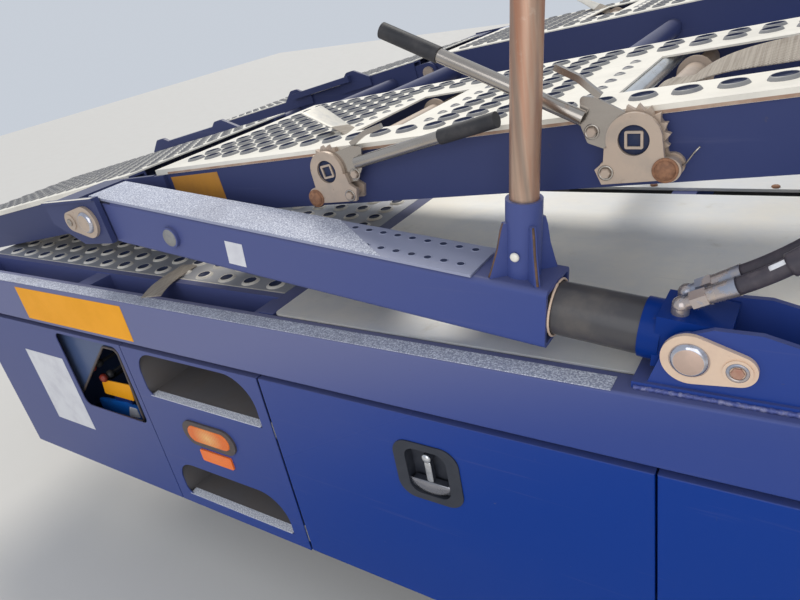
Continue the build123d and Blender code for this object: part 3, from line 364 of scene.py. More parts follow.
# dark grey as a painted reflection of the ground on the latch's half-moon
finish("dull_metal", (0.26, 0.26, 0.285), [patches(60, (0.17, 0.17, 0.19), 0.5, 0.45, 0.75)],
       (0.22, 0.4), metallic=0.7)
finish("dark_steel", (0.02, 0.022, 0.026), [
    patches(10, (0.055, 0.05, 0.046), 0.8),
    ("dust", {"Amount": 0.3, "Scale": 14}, (0.16, 0.14, 0.12), 1),
], (0.45, 0.75))
finish("latch_metal", (0.6, 0.61, 0.63), [patches(60, (0.3, 0.3, 0.31), 0.5, 0.45, 0.75)],
       (0.14, 0.32), metallic=0.9)
finish("rim_steel", (0.76, 0.71, 0.62), [patches(40, (0.56, 0.54, 0.51), 0.7)], metallic=0.1)
# dark grey: painted shade on the tread rims, and the plain grey of the arm's boss face
finish("grey_steel_and_shade", (0.28, 0.275, 0.27), [patches(40, (0.19, 0.19, 0.215), 0.7)], (0.45, 0.65),
       metallic=0.1, gloss=0.25)
finish("roller_steel", (0.58, 0.61, 0.64), [patches(16, (0.4, 0.37, 0.34), 0.5, 0.45, 0.75)],
       (0.22, 0.4), metallic=0.6)
# painted shade: dark cups and discs where holes and recesses are
finish("hole_shade", (0.028, 0.038, 0.085), [patches(30, (0.06, 0.062, 0.09), 0.6)], (0.5, 0.8), gloss=0.1)
finish("dark_rust", (0.105, 0.062, 0.04), [patches(90, (0.2, 0.105, 0.06), 0.8, 0.4, 0.6)], (0.6, 0.85),
       **rust_grain)
finish("lip_stain", (0.36, 0.215, 0.145), [patches(16, (0.52, 0.4, 0.31), 0.8, 0.4, 0.65)], (0.5, 0.8))
print(len(finishes), "finishes")

# %% [markdown]
# Lamps and labels have their own look. The lens is orange plastic with upright ribs and a bright
# middle, and the reflector has a fine grid of prisms. Grit tape is pale grains on grey. Labels are
# blank: worn yellow, amber and white film.

# %% Lens, reflector, tape and labels
def ribbed(name, colour, bright, scales, centre, reach):
    """A plastic whose colour brightens near a centre, with waves of given scales across it."""
    material = finish(name, colour, rough=(0.16, 0.3), coat=0.15, gloss=0.25)
    tree = material.node_tree
    place = add_node(tree, "TexCoord")
    shift = add_node(tree, "VectorMath", {"operation": "SUBTRACT"})
    shrink = add_node(tree, "VectorMath", {"operation": "MULTIPLY"})
    shift.inputs[1].default_value, shrink.inputs[1].default_value = centre, reach
    length = add_node(tree, "VectorMath", {"operation": "LENGTH"})
    split = add_node(tree, "SeparateXYZ")
    join(tree, (place, "Object", shift, 0), (shift, 0, shrink, 0), (shrink, 0, length, 0),
         (place, "Object", split, 0))
    near = maths(tree, "SUBTRACT", 1, length.outputs["Value"], clamp=True)
    wave_x = maths(tree, "SINE", maths(tree, "MULTIPLY", split.outputs["X"], scales[0]))
    wave_z = maths(tree, "SINE", maths(tree, "MULTIPLY", split.outputs["Z"], scales[1]))
    waves = maths(tree, "MULTIPLY_ADD", maths(tree, "ADD", wave_x, wave_z), 0.25, 0.5)
    tint = blended(tree, maths(tree, "MULTIPLY", near, waves, clamp=True), colour, bright)
    feed(tree, tree.nodes["Principled BSDF"].inputs["Base Color"], tint)
    emboss(tree, waves, 0.0006)


lamp_middle = (-0.472, -1.3, -0.195)
ribbed("amber_lens", (0.8, 0.175, 0.03), (1, 0.78, 0.3), (900, 0), lamp_middle, (17, 0, 24))
ribbed("orange_reflector", (1, 0.17, 0.018), (1, 0.32, 0.07), (1600, 1600), (-0.472, 0, -0.272), (9, 0, 20))
finish("grit_tape", (0.3, 0.32, 0.42), [
    patches(330, (0.74, 0.76, 0.83), 0.95, 0.44, 0.6),
    patches(3.5, (0.2, 0.19, 0.22), 0.35, 0.45, 0.75),
], (0.6, 0.9), grain=0.0012, grain_scale=330)
finish("step_tape", (0.48, 0.5, 0.6), [patches(330, (0.95, 0.96, 1), 0.95, 0.42, 0.58)], (0.6, 0.9),
       grain=0.0012, grain_scale=330)
finish("yellow_label", (0.95, 0.4, 0.012), [
    patches(9, (0.86, 0.36, 0.02), 0.6),
    patches(90, (0.3, 0.2, 0.1), 0.4, 0.66, 0.8),
], gloss=0.15)
finish("amber_label", (0.52, 0.235, 0.035), [patches(12, (0.4, 0.18, 0.04), 0.7)])
finish("white_label", (0.72, 0.72, 0.75), [
    patches(14, (0.56, 0.55, 0.6), 0.6, 0.4, 0.72),
    patches(120, (0.34, 0.3, 0.28), 0.4, 0.66, 0.78),
])
finish("knob_red", (0.28, 0.035, 0.022), [patches(60, (0.12, 0.03, 0.02), 0.6, 0.45, 0.6)], (0.3, 0.5))
# the pale patches are painted highlights on the bead
finish("weld_metal", (0.085, 0.105, 0.3), [patches(90, (0.27, 0.27, 0.42), 0.8, 0.45, 0.62)],
       metallic=0.2, grain=0.0006, grain_scale=420)
print(len(finishes), "finishes with lens, tape and labels")

# %% [markdown]
# Each solid takes the finish of its slot, except where one slot covers several looks. The posts are
# streaked tubes and the winch handles are bright. The sills, doors and beams each carry the painted
# sky reflection in their own way, and the beams are a darker blue as painted shade. The lower deck's
# treads are painted darker and bluer than the runways', as shade under the upper deck.

# %% Finishes onto the solids
both_sides = (("near", False), ("far", True))
own_finish = {
    "winch_handles": "handle_steel", "foot_pins": "pin_steel", "edge_rollers": "roller_steel",
    "sills": "sill_blue", "upper_deck_frame": "beam_shade_blue", "flap_frames": "beam_shade_blue",
    "traction_deck_plates": "shaded_traction", "control_box": "window_blue", "lamp_grommets": "worn_rubber",
    "step_pockets": "worn_steel",
}
side_finish = {
    "post": "tube_steel", "port_fittings": "fitting_steel", "arm_walkway": "walk_plate",
    "cylinder_cap": "cap_blue", "left_locker_door": "door_blue", "right_locker_door": "door_blue",
    "left_door_latch": "latch_black", "right_door_latch": "latch_black",
}
own_finish.update({f"{side}_{part}": look for side, far in both_sides for part, look in side_finish.items()})
for entry in frame["record"]["subparts"]:
    solid = frame["nodes"][entry["node"]]
    look = finishes.get(own_finish.get(entry["node"], entry["material_slot"]), finishes["dark_steel"])
    solid.data.materials.clear()
    solid.data.materials.append(look)

# %% [markdown]
# New pieces are arrays of points. Most are drawn in a sloped frame, where a point is a distance
# back from a pivot, an inset from the body's side and a height off the slope, all in millimetres.
# The same drawing then gives the near piece and its far twin.

# %% Sloped frames and mesh helpers
half_width = 1296.0
hinge, knuckle, foot = (1600, 616), (-650, 427.5), (744, 273.5)


def sloped(pivot, degrees):
    """Gives a mapping from (back, inset, height): X = pivot - back cos - height sin,
    Z = pivot - back sin + height cos, and Y from the inset, on either side."""
    lean = math.radians(degrees)

    def place(points, far=False):
        back, inset, height = points[..., 0], points[..., 1], points[..., 2]
        x = pivot[0] - back * math.cos(lean) - height * math.sin(lean)
        z = pivot[1] - back * math.sin(lean) + height * math.cos(lean)
        y = (half_width - inset) * (1 if far else -1)
        return np.stack([x, y, z], -1) / 1000

    return place


deck = sloped(hinge, math.degrees(math.atan2(hinge[1] - knuckle[1], hinge[0] - knuckle[0])))
flap = sloped(knuckle, 9.5)
arm = sloped(foot, -math.degrees(math.atan2(knuckle[1] - foot[1], foot[0] - knuckle[0])))
level = sloped((0, 0), 0)


def around(sides):
    """Equal steps round a circle."""
    return np.arange(sides) * 2 * math.pi / sides


def unit(rows):
    """Each row over its length."""
    return rows / np.linalg.norm(rows, axis=1)[:, None]


def ring_faces(rings, sides):
    """Four-sided faces between rings of points, each ring closed on itself."""
    ring = np.arange(rings - 1)[:, None] * sides
    side = np.arange(sides)[None, :]
    beside = (side + 1) % sides
    quads = [ring + side, ring + beside, ring + sides + beside, ring + sides + side]
    return np.stack(np.broadcast_arrays(*quads), -1).reshape(-1, 4)


def path(back, inset, height):
    """Points of a path from columns, any of which may be a single number."""
    return np.stack(np.broadcast_arrays(back, inset, height), -1).astype(float)


def add_piece(name, points, faces, body, slot, look, smooth=True, closed=True):
    """Puts points and faces into a mesh piece that rides on a body."""
    mesh = bpy.data.meshes.new(name)
    mesh.from_pydata(np.asarray(points).reshape(-1, 3).tolist(), [], [list(map(int, face)) for face in faces])
    if closed:
        shell = bmesh.new()
        shell.from_mesh(mesh)
        bmesh.ops.remove_doubles(shell, verts=shell.verts, dist=1e-6)
        bmesh.ops.recalc_face_normals(shell, faces=shell.faces)
        shell.to_mesh(mesh)
        shell.free()
    mesh.shade_smooth() if smooth else mesh.shade_flat()
    piece = bpy.data.objects.new(name, mesh)
    bpy.context.scene.collection.objects.link(piece)
    mesh.materials.append(finishes[look])
    if body:
        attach(piece, body)
    return piece


def add_both(name, place, shape, body, slot, look, smooth=True, closed=True):
    """The same piece on both sides of the body; an open one's faces turn over on the near side."""
    points, faces = shape
    return [add_piece(f"{side}_{name}", place(points, far), faces if closed or far else faces[:, ::-1],
                      body.format(side=side), slot, look, smooth, closed) for side, far in both_sides]


def slab(outline, low, high):
    """A flat closed piece: an outline of (back, inset) at two heights, its top and bottom one face each."""
    count = len(outline)
    points = np.concatenate([np.column_stack([outline, np.full(count, value)]) for value in (low, high)])
    faces = [list(range(count)), list(range(2 * count - 1, count - 1, -1))]
    return points, faces + ring_faces(2, count).tolist()


def upright(outline, near, far):
    """The same for an outline of (-back, height) on a side face, between two insets."""
    points, faces = slab(outline, near, far)
    return np.column_stack([-points[:, 0], points[:, 2], points[:, 1]]), faces


def corners(x0, z0, x1, z1):
    """A rectangle's outline by its corners."""
    return np.array([(x0, z0), (x1, z0), (x1, z1), (x0, z1)], float)


print("frames: deck, flap, arm, level")

# %% [markdown]
# The treads are pressed: each hole has a raised, rounded rim that grips a tyre. One rim is a small
# profile turned round an axis, and adding every centre of a lattice to it gives them all at once. A
# dark cup of painted shade inside the rim stands for the hole, which keeps the solid plate simple.
# The rims on the runways and the flap are painted dark grey as the shade on their flanks.

# %% Raised holes
runway_top, lower_top = 64, 206


def lattice(backs, insets, keep_out=()):
    """Centres at every pair of back and inset, except inside the keep-out boxes."""
    back, inset = np.meshgrid(backs, insets, indexing="ij")
    centres = np.column_stack([back.ravel(), inset.ravel()])
    for left, near, right, far in keep_out:
        inside = (centres > (left, near)) & (centres < (right, far))
        centres = centres[~inside.all(axis=1)]
    return centres


def turned(centres, profile, sides, height):
    """Each profile point (radius, rise) goes round a circle, and the rim is copied to every centre."""
    angle = around(sides)
    profile = np.asarray(profile, float)
    rim = np.stack(np.broadcast_arrays(profile[:, :1] * np.cos(angle), profile[:, :1] * np.sin(angle),
                                       profile[:, 1:] + height), -1)
    shift = np.column_stack([centres, np.zeros(len(centres))])
    points = shift[:, None, None, :] + rim[None]
    faces = ring_faces(len(profile), sides)[None]
    count = len(profile) * sides
    return points, (faces + np.arange(len(centres))[:, None, None] * count).reshape(-1, 4)


def perforate(name, place, body, centres, radius, rim, rise, top, look, sides=16, sunk=2):
    """Rims and dark cups of painted shade on both sides of the body."""
    profile = [(radius + rim, 0), (radius + rim * 0.4, rise * 0.8), (radius + rim * 0.12, rise),
               (radius, rise * 0.92)]
    cup = [(radius, rise * 0.92), (radius - 1.2, rise - sunk), (0, rise - sunk)]
    for part, line, paint in (("rims", profile, look), ("holes", cup, "hole_shade")):
        add_both(f"{name}_{part}", place, turned(centres, line, sides, top), body, "traction_plate", paint,
                 closed=False)


openings = [(1400, 305, 1690, 680), (590, 305, 1120, 680)]
deck_centres = lattice(np.arange(120, 2165, 66), np.arange(266, 850, 59), openings)
dome_centres = lattice((600, 1085, 1428, 1655), np.arange(337, 650, 59))
flap_centres = lattice(np.arange(110, 1420, 62), np.arange(266, 850, 59))
low_centres = lattice(np.arange(250, 1540, 88), np.arange(185, 1290, 64))
# the runway and flap rims are painted dark grey as the shade on their flanks
perforate("deck", deck, "upper_deck", deck_centres, 18, 5.5, 6, runway_top, "grey_steel_and_shade", sunk=4)
perforate("deck_dimple", deck, "upper_deck", dome_centres, 5, 7, 3.5, runway_top, "grey_steel_and_shade", 12)
perforate("flap", flap, "flap", flap_centres, 15, 3.5, 3.5, runway_top, "grey_steel_and_shade", 12, 3)
perforate("lower_deck", level, "root", low_centres, 17, 8, 5, lower_top, "rim_steel", 12)
print(len(deck_centres), len(flap_centres), len(low_centres), "raised holes a side")

# %% [markdown]
# The walkway on the arm has two rows of plain round holes, so flat dark discs of painted shade are
# enough. Its left part lies under grit tape with a slanting end. The edge of the sill and the lip of
# each step have the same tape. Tape is a thin slab, and its grains come from the bump in its finish.

# %% Walkway holes and grit tape
walkway_top, tape = 60, 1.6
walk_rows = lattice(np.linspace(391, 858, 15), (60, 120))
disc_points = turned(walk_rows, [(7, 0.3)], 16, walkway_top)[0]
walk_holes = disc_points, np.arange(len(walk_rows) * 16).reshape(-1, 16)
walk_tape = [(540, 29.5), (709, 138.5), (1398, 138.5), (1398, 29.5)]
walk_rims = turned(walk_rows, [(9, 0.05), (8, 0.9), (7, 0.9), (6.4, 0.1)], 16, walkway_top)
add_both("walkway_holes", arm, walk_holes, "{side}_arm", "traction_plate", "hole_shade", closed=False)
add_both("walkway_rims", arm, walk_rims, "{side}_arm", "traction_plate", "walk_plate", closed=False)
tapes = {
    "walkway_tape": (arm, walk_tape, walkway_top, tape, "{side}_arm", "grit_tape"),
    "sill_tape": (level, corners(-633, 1.5, 1579, 40), lower_top, 1.4, "root", "grit_tape"),
    "upper_tread_tape": (level, corners(244, -1, 674, 24), -101, tape, "root", "step_tape"),
    "lower_tread_tape": (level, corners(259, -1, 681, 24), -474, tape, "root", "step_tape"),
}
for name, (place, outline, low, thickness, body, look) in tapes.items():
    add_both(name, place, slab(outline, low, low + thickness), body, "traction_plate", look, False)
print("tape and walkway holes")

# %% [markdown]
# Labels and a sheet are stuck to the near side. They are left blank here, and each is a thin film
# just proud of the paint.

# %% Blank labels
label_film, gap = 0.8, 0.05
labels = {
    "sill_label": (level, corners(-1184, 82, -652, 192), 0, "root", "yellow_label"),
    "skirt_sheet": (level, corners(-1320, -340, -1100, -56), 0, "root", "white_label"),
    "arm_sticker": (arm, corners(-895, -34, -946, 20), 29, "near_arm", "white_label"),
    "beam_label": (deck, corners(-1960, -48, -2139, 41), 200, "upper_deck", "amber_label"),
}
for name, (place, outline, inset, body, look) in labels.items():
    points, faces = upright(outline, inset - label_film, inset - gap)
    add_piece(name, place(points), faces, body, "blue_paint", look, False)
print(len(labels), "blank labels")

# %% [markdown]
# Round bars, trims and beads are tubes: a circle carried along a path. At each point of the path the
# circle stands square to the way ahead, so one function serves hoses, the port's trim and the welds.

# %% Tubes along a path
nearly_across = (0.05, 1, 0.02)


def capped(rings):
    """Rings of points as a closed shape: faces between the rings, and one face at each end."""
    count, sides = rings.shape[:2]
    last = (count - 1) * sides
    ends = [list(range(sides - 1, -1, -1)), list(range(last, last + sides))]
    return rings, ring_faces(count, sides).tolist() + ends


def tube(line, radius, sides=16, closed=False):
    """Points = line + radius (cos side + sin up), where side and up are square to the line's direction."""
    line = np.asarray(line, float)
    ahead = unit(np.roll(line, -1, 0) - np.roll(line, 1, 0) if closed else np.gradient(line, axis=0))
    side = unit(np.cross(ahead, nearly_across))
    up = np.cross(ahead, side)
    angle = around(sides)
    radius = np.broadcast_to(radius, len(line))[:, None, None]
    ring = np.cos(angle)[None, :, None] * side[:, None, :] + np.sin(angle)[None, :, None] * up[:, None, :]
    points = line[:, None, :] + radius * ring
    if closed:
        points = np.concatenate([points, points[:1]])
        return points, ring_faces(len(points), sides).tolist()
    return capped(points)


def distance_along(line):
    """The distance from the line's start to each of its points."""
    return np.concatenate([[0], np.cumsum(np.linalg.norm(np.diff(line, axis=0), axis=1))])


print("tubes along paths")

# %% [markdown]
# Two hydraulic hoses a side feed the cylinder. Each leaves its ferrule, arches over the bracket and
# dives into the deck. A smooth spline through the same route as the solid's gives its line, and a
# circle carried along it gives the hose. It runs between the cylinder, which swings, and the fixed
# body, and rides on neither. One hose of each pair wears a black sleeve and a short pale band.

# %% Hoses
hose_radius = 0.013
hose_route = ((797.5, 378.2, 0), (859.5, 410.8, 0), (962, 508, 10), (1150, 512, 34), (1290, 372, 44),
              (1290, 210, 44))
hose_insets = (63, 105)
# each cover: its start and end along the hose, its radius and its shift, in metres, and its look
hose_covers = (("band", 0.04, 0.075, 0.0045, (0, -0.0055, 0.0105), "white_label"),
               ("sleeve", 0.07, 0.33, 0.017, (0, 0, 0), "hose_black"))


def spline_line(points):
    """The line of a smooth spline with these control points, read from Blender's own curve."""
    curve = bpy.data.curves.new("line", "CURVE")
    curve.dimensions = "3D"
    curve.resolution_u = 24
    spline = curve.splines.new("NURBS")
    spline.points.add(len(points) - 1)
    spline.points.foreach_set("co", np.column_stack([points, np.ones(len(points))]).ravel())
    spline.order_u = 3
    spline.use_endpoint_u = True
    holder = bpy.data.objects.new("line", curve)
    line = bpy.data.meshes.new_from_object(holder)
    values = np.empty(len(line.vertices) * 3)
    line.vertices.foreach_get("co", values)
    bpy.data.objects.remove(holder)
    bpy.data.curves.remove(curve)
    bpy.data.meshes.remove(line)
    return values.reshape(-1, 3)


for side, far in both_sides:
    for number, start_inset in enumerate(hose_insets, 1):
        route = np.array([(-x, start_inset + shift, z) for x, z, shift in hose_route])
        line = spline_line(level(route, far))
        along = distance_along(line)
        tubing = tube(line, hose_radius)
        hose = add_piece(f"{side}_hose_{number}", *tubing, None, "black_rubber", "hose_black")
        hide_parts("hoses")
        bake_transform(hose)
        print(hose.name, round(float(along[-1]), 3), "m")
        if number == 1:
            for part, start, stop, radius, shift, look in hose_covers:
                span = line[(along >= start) & (along <= stop)] + np.array(shift) * (1, -1 if far else 1, 1)
                tubing = tube(span, radius, 20)
                cover = add_piece(f"{side}_hose_{part}", *tubing, None, "black_rubber", look)
                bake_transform(cover)

# %% [markdown]
# Bolt heads, washers, rings and rusty pin ends are turned profiles, too. Six sides give a hex head
# and more give a round one. They sit on the winch plates, keepers, pins, deck covers and the post's
# socket. A profile holds shares of a radius and a height, or millimetres where both are 1.

# %% Bolt heads
def heads(name, places, profile, size, body, look, sides=6, facing="side"):
    """One turned head at each place (X, inset, Z), facing out of the body's side or up, on both sides."""
    places = np.asarray(places, float)[:, None, None, :] * (-1, 1, 1)
    points, faces = turned(np.zeros((len(places), 2)), np.asarray(profile) * size, sides, 0)
    across, along, rise = np.moveaxis(points, -1, 0)
    offset = np.stack([-across, -rise, along] if facing == "side" else [-across, along, rise], -1)
    add_both(name, level, (places + offset, faces), body, "zinc_steel", look, sides > 8)


bolt = [(1.0, 0), (1.0, 0.75), (0.84, 1.0), (0.0, 1.0)]
dome = [(1.0, 0), (1.0, 0.35), (0.88, 0.7), (0.6, 0.92), (0.0, 1.0)]
washer = [(1.0, 0), (1.0, 0.8), (0.94, 1.0), (0.70, 1.0), (0.66, 0.6)]
shaft_shade = [(23.8, 0), (23.6, 0.5), (0, 0.5)]
keeper_ring = [(15.6, 0), (15.4, 1.2), (14.2, 1.8), (10.8, 1.7), (10.4, 0.6)]
pin_ring = [(28.4, 0), (28.4, 1.2), (25.6, 4.3), (22.2, 7.1), (21.4, 7.04)]
pin_end = [(21.3, 0), (20.8, 0.35), (0, 0.4)]
boss_face = [(21, 0), (20, 1.4), (0, 1.5)]
cover_top = float(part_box("centre_cover_plates")[1][2]) * 1000
pin_face = float(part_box("foot_pins")[0][1]) * 1000 + half_width
knuckle_face = float(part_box("knuckle_pins")[0][1]) * 1000 + half_width
keeper, boss = 4, 7
winch_bolts = [(81.5, 173, 498.8), (64.1, 165, 456.1), (565.1, 173, 569.9), (587.1, 165, 506.0)]
winch_pins = [(-28.2, 165, 447.3), (676.9, 165, 510.2)]
shaft_middles = [(14.7, 170.5, 505.2), (630.6, 170.5, 556.9)]
keeper_hole = [(808.5, pin_face + keeper, 265.6)]
cover_bolts = [(x, inset, cover_top) for x in (187, 477, 767, 1057, 1347) for inset in (940, 1262)]
heads("winch_bolts", winch_bolts, bolt, (8.5, 7), "upper_deck", "zinc_steel")
heads("winch_washers", winch_bolts, washer, (12.5, 2), "upper_deck", "handle_steel", 24)
heads("winch_pin_rims", winch_pins, washer, (19.5, 3), "upper_deck", "rusty_steel", 28)
heads("winch_pin_ends", winch_pins, dome, (16, 9), "upper_deck", "rusty_steel", 24)
# dark discs of painted shade fill the recesses round the winch shafts
heads("shaft_shade_discs", shaft_middles, shaft_shade, 1, "upper_deck", "hole_shade", 40)
heads("cover_bolts", cover_bolts, bolt, (10, 5), "root", "rusty_steel", facing="up")
heads("keeper_bolt", keeper_hole, bolt, (9.5, 3.8), "root", "bolt_rust")
heads("keeper_ring", keeper_hole, keeper_ring, 1, "root", "fitting_steel", 32)
heads("foot_pin_face", [(foot[0], pin_face, foot[1])], pin_end, 1, "root", "pin_dull", 40)
heads("knuckle_bolt", [(-715, knuckle_face + keeper, 426.6)], bolt, (10, 3.8), "upper_deck", "handle_steel")
heads("foot_pin_ring", [(foot[0], pin_face + boss, foot[1])], pin_ring, 1, "root", "polished_steel", 40)
heads("knuckle_pin_ring", [(knuckle[0], knuckle_face + boss, knuckle[1])], pin_ring, 1, "upper_deck",
      "polished_steel", 40)
heads("arm_boss_face", [(-367.2, 20, 396.3)], boss_face, 1, "{side}_arm", "grey_steel_and_shade", 28)
heads("socket_bolt", [(470, 51, 401.4)], dome, (8, 5), "{side}_arm", "traction_plate", 16)
print("cover top, pin and knuckle faces", [round(v, 1) for v in (cover_top, pin_face, knuckle_face)])

# %% [markdown]
# The control window has a rubber trim round its slanting opening. Inside stand a bright blue valve
# cover, a darker stand, a blank yellow plate, a white one and two red knobs. A rounded outline is
# made from its corners: each corner is swapped for an arc that touches both its edges.

# %% The control window
def rounded(outline, radius, steps=7):
    """Each corner becomes an arc whose ends lie radius / tan(half the inner angle) from the corner."""
    back, on = unit(np.roll(outline, 1, 0) - outline), unit(np.roll(outline, -1, 0) - outline)
    half = np.arccos(np.clip((back * on).sum(1), -1, 1))[:, None] / 2
    middle = outline + unit(back + on) * radius / np.sin(half)
    first, last = (outline + way * radius / np.tan(half) - middle for way in (back, on))
    share = np.linspace(0, 1, steps)[None, :, None]
    arc = first[:, None] * (1 - share) + last[:, None] * share
    arc *= radius / np.linalg.norm(arc, axis=2, keepdims=True)
    return (middle[:, None] + arc).reshape(-1, 2)


port_corners = np.array([(-868, 16), (-800, 16), (-812, -250), (-1128, -262), (-1140, -225)], float)
trim_line = rounded(port_corners, 20)
trim_inset, trim_radius = 22, 4
points, faces = tube(path(-trim_line[:, 0], trim_inset, trim_line[:, 1]), trim_radius, 10, closed=True)
add_piece("port_trim", level(points), faces, "root", "black_rubber", "worn_rubber")
finish("bright_blue", (0.01, 0.13, 0.52), [patches(12, (0.02, 0.09, 0.32), 0.6, 0.45, 0.6)], (0.3, 0.5))
inside_plates = {
    "valve_cover": ([(-1112, -330), (-893, -330), (-889, -243), (-950, -232), (-1104, -250)], 56, 66,
                    "bright_blue"),
    "valve_label": ([(-1054, -220), (-896, -215), (-885, -151), (-1039, -161)], 58, 61, "yellow_label"),
    "valve_plate": ([(-957, -287), (-895, -279), (-896, -243), (-933, -244)], 54.5, 56, "white_label"),
    "valve_stand": ([(-1010, -330), (-920, -330), (-920, -160), (-1010, -160)], 61, 66, "deep_blue_paint"),
}
for name, (outline, front, rear, look) in inside_plates.items():
    points, faces = upright(rounded(np.array(outline, float), 4, 3), front, rear)
    add_piece(name, level(points), faces, "root", "blue_paint", look, False)
knob, knob_inset = [(5, 0), (12, -3), (15, -9), (15, -13), (11, -19), (0, -21)], 64
for number, middle in enumerate([(-1050, -112), (-1010, -146)], 1):
    points, faces = turned([middle], knob, 20, knob_inset)
    points = level(points[..., (0, 2, 1)] * (-1, 1, 1))
    add_piece(f"lever_knob_{number}", points, faces, "root", "dark_steel", "knob_red")
print("control window", len(inside_plates), "plates")

# %% [markdown]
# Each locker door's latch is a black pan with a bright T-handle. The handle is a half-moon with a
# rounded face. A crowned surface draws it: rings of the outline shrink to its middle while they
# rise as the square root of one minus the share squared, as on a flat dome.

# %% Latch handles
def crowned(outline, middle, depth, rings=6):
    """Each ring is the outline shrunk about the middle to a share s, raised depth * sqrt(1 - s^2)."""
    share = np.cos(np.linspace(0, math.pi / 2, rings))[:, None, None]
    points = middle + (outline - middle)[None] * share
    rise = depth * np.sqrt(np.clip(1 - share ** 2, 0, 1)) * np.ones((1, len(outline), 1))
    return np.concatenate([points, rise], -1), ring_faces(rings, len(outline))


first_latch, door_pitch, latch_height = 246.5, 900, -127
arc = np.linspace(0, math.pi, 15)
moon = np.column_stack([50 * np.cos(arc), 11 - 34 * np.sin(arc)])
stem = rounded(corners(-8, 4, 8, 66), 7, 4)
ball = np.column_stack([11.5 * np.cos(arc * 2), 74 + 11.5 * np.sin(arc * 2)])[:-1]
# the half-moon bar is painted dark grey as a reflection of the ground
latch_parts = (("bar", moon, -1.0, 3.0, 5.5, "dull_metal"), ("stem", stem, 35.0, 4.2, 3.5, "latch_metal"),
               ("ball", ball, 74.0, 4.0, 6.5, "latch_metal"))
for number, door in enumerate(("left", "right")):
    for part, outline, middle, base, depth, look in latch_parts:
        points, faces = crowned(outline, np.array((0, middle)), depth)
        points = np.stack([-(first_latch + door_pitch * number + points[..., 0]), base - points[..., 2],
                           points[..., 1] + latch_height], -1)
        add_both(f"{door}_latch_{part}", level, (points, faces), f"{{side}}_{door}_door", "latch_metal", look)
print("latch handles")

# %% [markdown]
# Webbing is woven from beige yarn that dust has stained in patches. Its weave is far too fine for a
# mesh, so two crossed waves drive a Bump node.

# %% Webbing finish
webbing = finish("strap_webbing", (0.42, 0.36, 0.3), [
    patches(14, (0.3, 0.25, 0.205), 0.6, 0.4, 0.72),
    streaks((300, 9, 9), (0.6, 0.54, 0.46), 0.6, 0.42, 0.6),
], (0.75, 0.95), gloss=0.15)
tree = webbing.node_tree
split = add_node(tree, "SeparateXYZ")
place = add_node(tree, "TexCoord")
join(tree, (place, "Object", split, 0))
warp = maths(tree, "SINE", maths(tree, "MULTIPLY", split.outputs["Y"], 1500))
weft = maths(tree, "SINE", maths(tree, "MULTIPLY", split.outputs["X"], 1100))
emboss(tree, maths(tree, "MULTIPLY", warp, weft), 0.0008)
print("webbing finish with a weave")

# %% [markdown]
# The straps come off the winch drums and lie over the treads. A strap is a flat ribbon: a thin
# rounded section carried along a smooth line, twisted where it has sprung up. The left one bends
# over the opening's edge: its rise, which bends down into the opening, keeps the darker webbing
# colour as painted shade, and its far part is pale as painted sunlight. The coil round the drum is a
# turned ring with a groove for each layer.

# %% Straps
def ribbon(line, width, thickness, tilt):
    """At each point of the line a flat oval section, width across the deck, turned by tilt about the line."""
    angle = around(16)
    across = np.sign(np.cos(angle)) * np.abs(np.cos(angle)) ** 0.35 * width / 2
    up = np.sign(np.sin(angle)) * np.abs(np.sin(angle)) ** 0.8 * thickness / 2
    ahead = unit(np.gradient(line, axis=0))
    side = unit(np.cross(ahead, (0, 0, 1.0)))
    side *= np.where(side @ side[0] < 0, -1, 1)[:, None]
    normal = np.cross(side, ahead)
    normal *= np.sign(normal[:, 2:3] + 1e-9)
    lean = np.radians(tilt)[:, None]
    side, normal = side * np.cos(lean) + normal * np.sin(lean), normal * np.cos(lean) - side * np.sin(lean)
    return capped(line[:, None, :] + across[None, :, None] * side[:, None, :]
                  + up[None, :, None] * normal[:, None, :])


strap_middle, strap_width, strap_thickness = 407.5, 75, 4.5
right_route = np.array([(971, 55), (941, 51), (918, 60), (893, 69), (850, 76), (770, 79), (690, 81),
                        (630, 79), (560, 69), (460, 67.2), (330, 67.2), (130, 67.2)])
twist_start, twist_end, twist = 540, 930, 22
left_route = np.array([(1592, 345, 12), (1611, 345, 38), (1637, 345, 59), (1662, 345, 73), (1678, 345, 82),
                       (1708, 345, 103), (1740, 345, 124)], float)
left_bend, left_twist = 1668, 12
drum_back, drum_height, coil_start = 971, 22, 370
coil = [(25, 0)] + [(26 + layer, (layer % 2) * 1.2) for layer in range(8)]
coil += [(radius, strap_width - rise) for radius, rise in coil[::-1]] + coil[:1]
ring, faces = turned([(drum_back, drum_height)], coil, 40, coil_start)
line = spline_line(path(right_route[:, 0], strap_middle, right_route[:, 1]))
lift = np.clip((line[:, 0] - twist_start) / (twist_end - twist_start), 0, 1)
laid = ribbon(line, strap_width, strap_thickness, twist * np.sin(math.pi * lift) ** 0.7)
wound = ring[..., (0, 2, 1)], faces
for name, shape in (("right_strap", laid), ("strap_coil", wound)):
    for strap in add_both(name, deck, shape, "upper_deck", "strap_webbing", "strap_webbing"):
        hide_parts("winch_straps")
line = spline_line(left_route)
tilt = left_twist * np.sin(math.pi * np.linspace(0, 1, len(line)))
bend = int(np.searchsorted(line[:, 0], left_bend))
# the rise keeps the darker webbing colour as painted shade, the far part is pale as painted sunlight
for part, span, look in (("left_strap_shaded_rise", slice(0, bend + 1), "strap_webbing"),
                         ("left_strap_sunlit", slice(bend, None), "rim_steel")):
    shape = ribbon(line[span], strap_width, strap_thickness, tilt[span])
    add_both(part, deck, shape, "upper_deck", "strap_webbing", look)
print("straps")

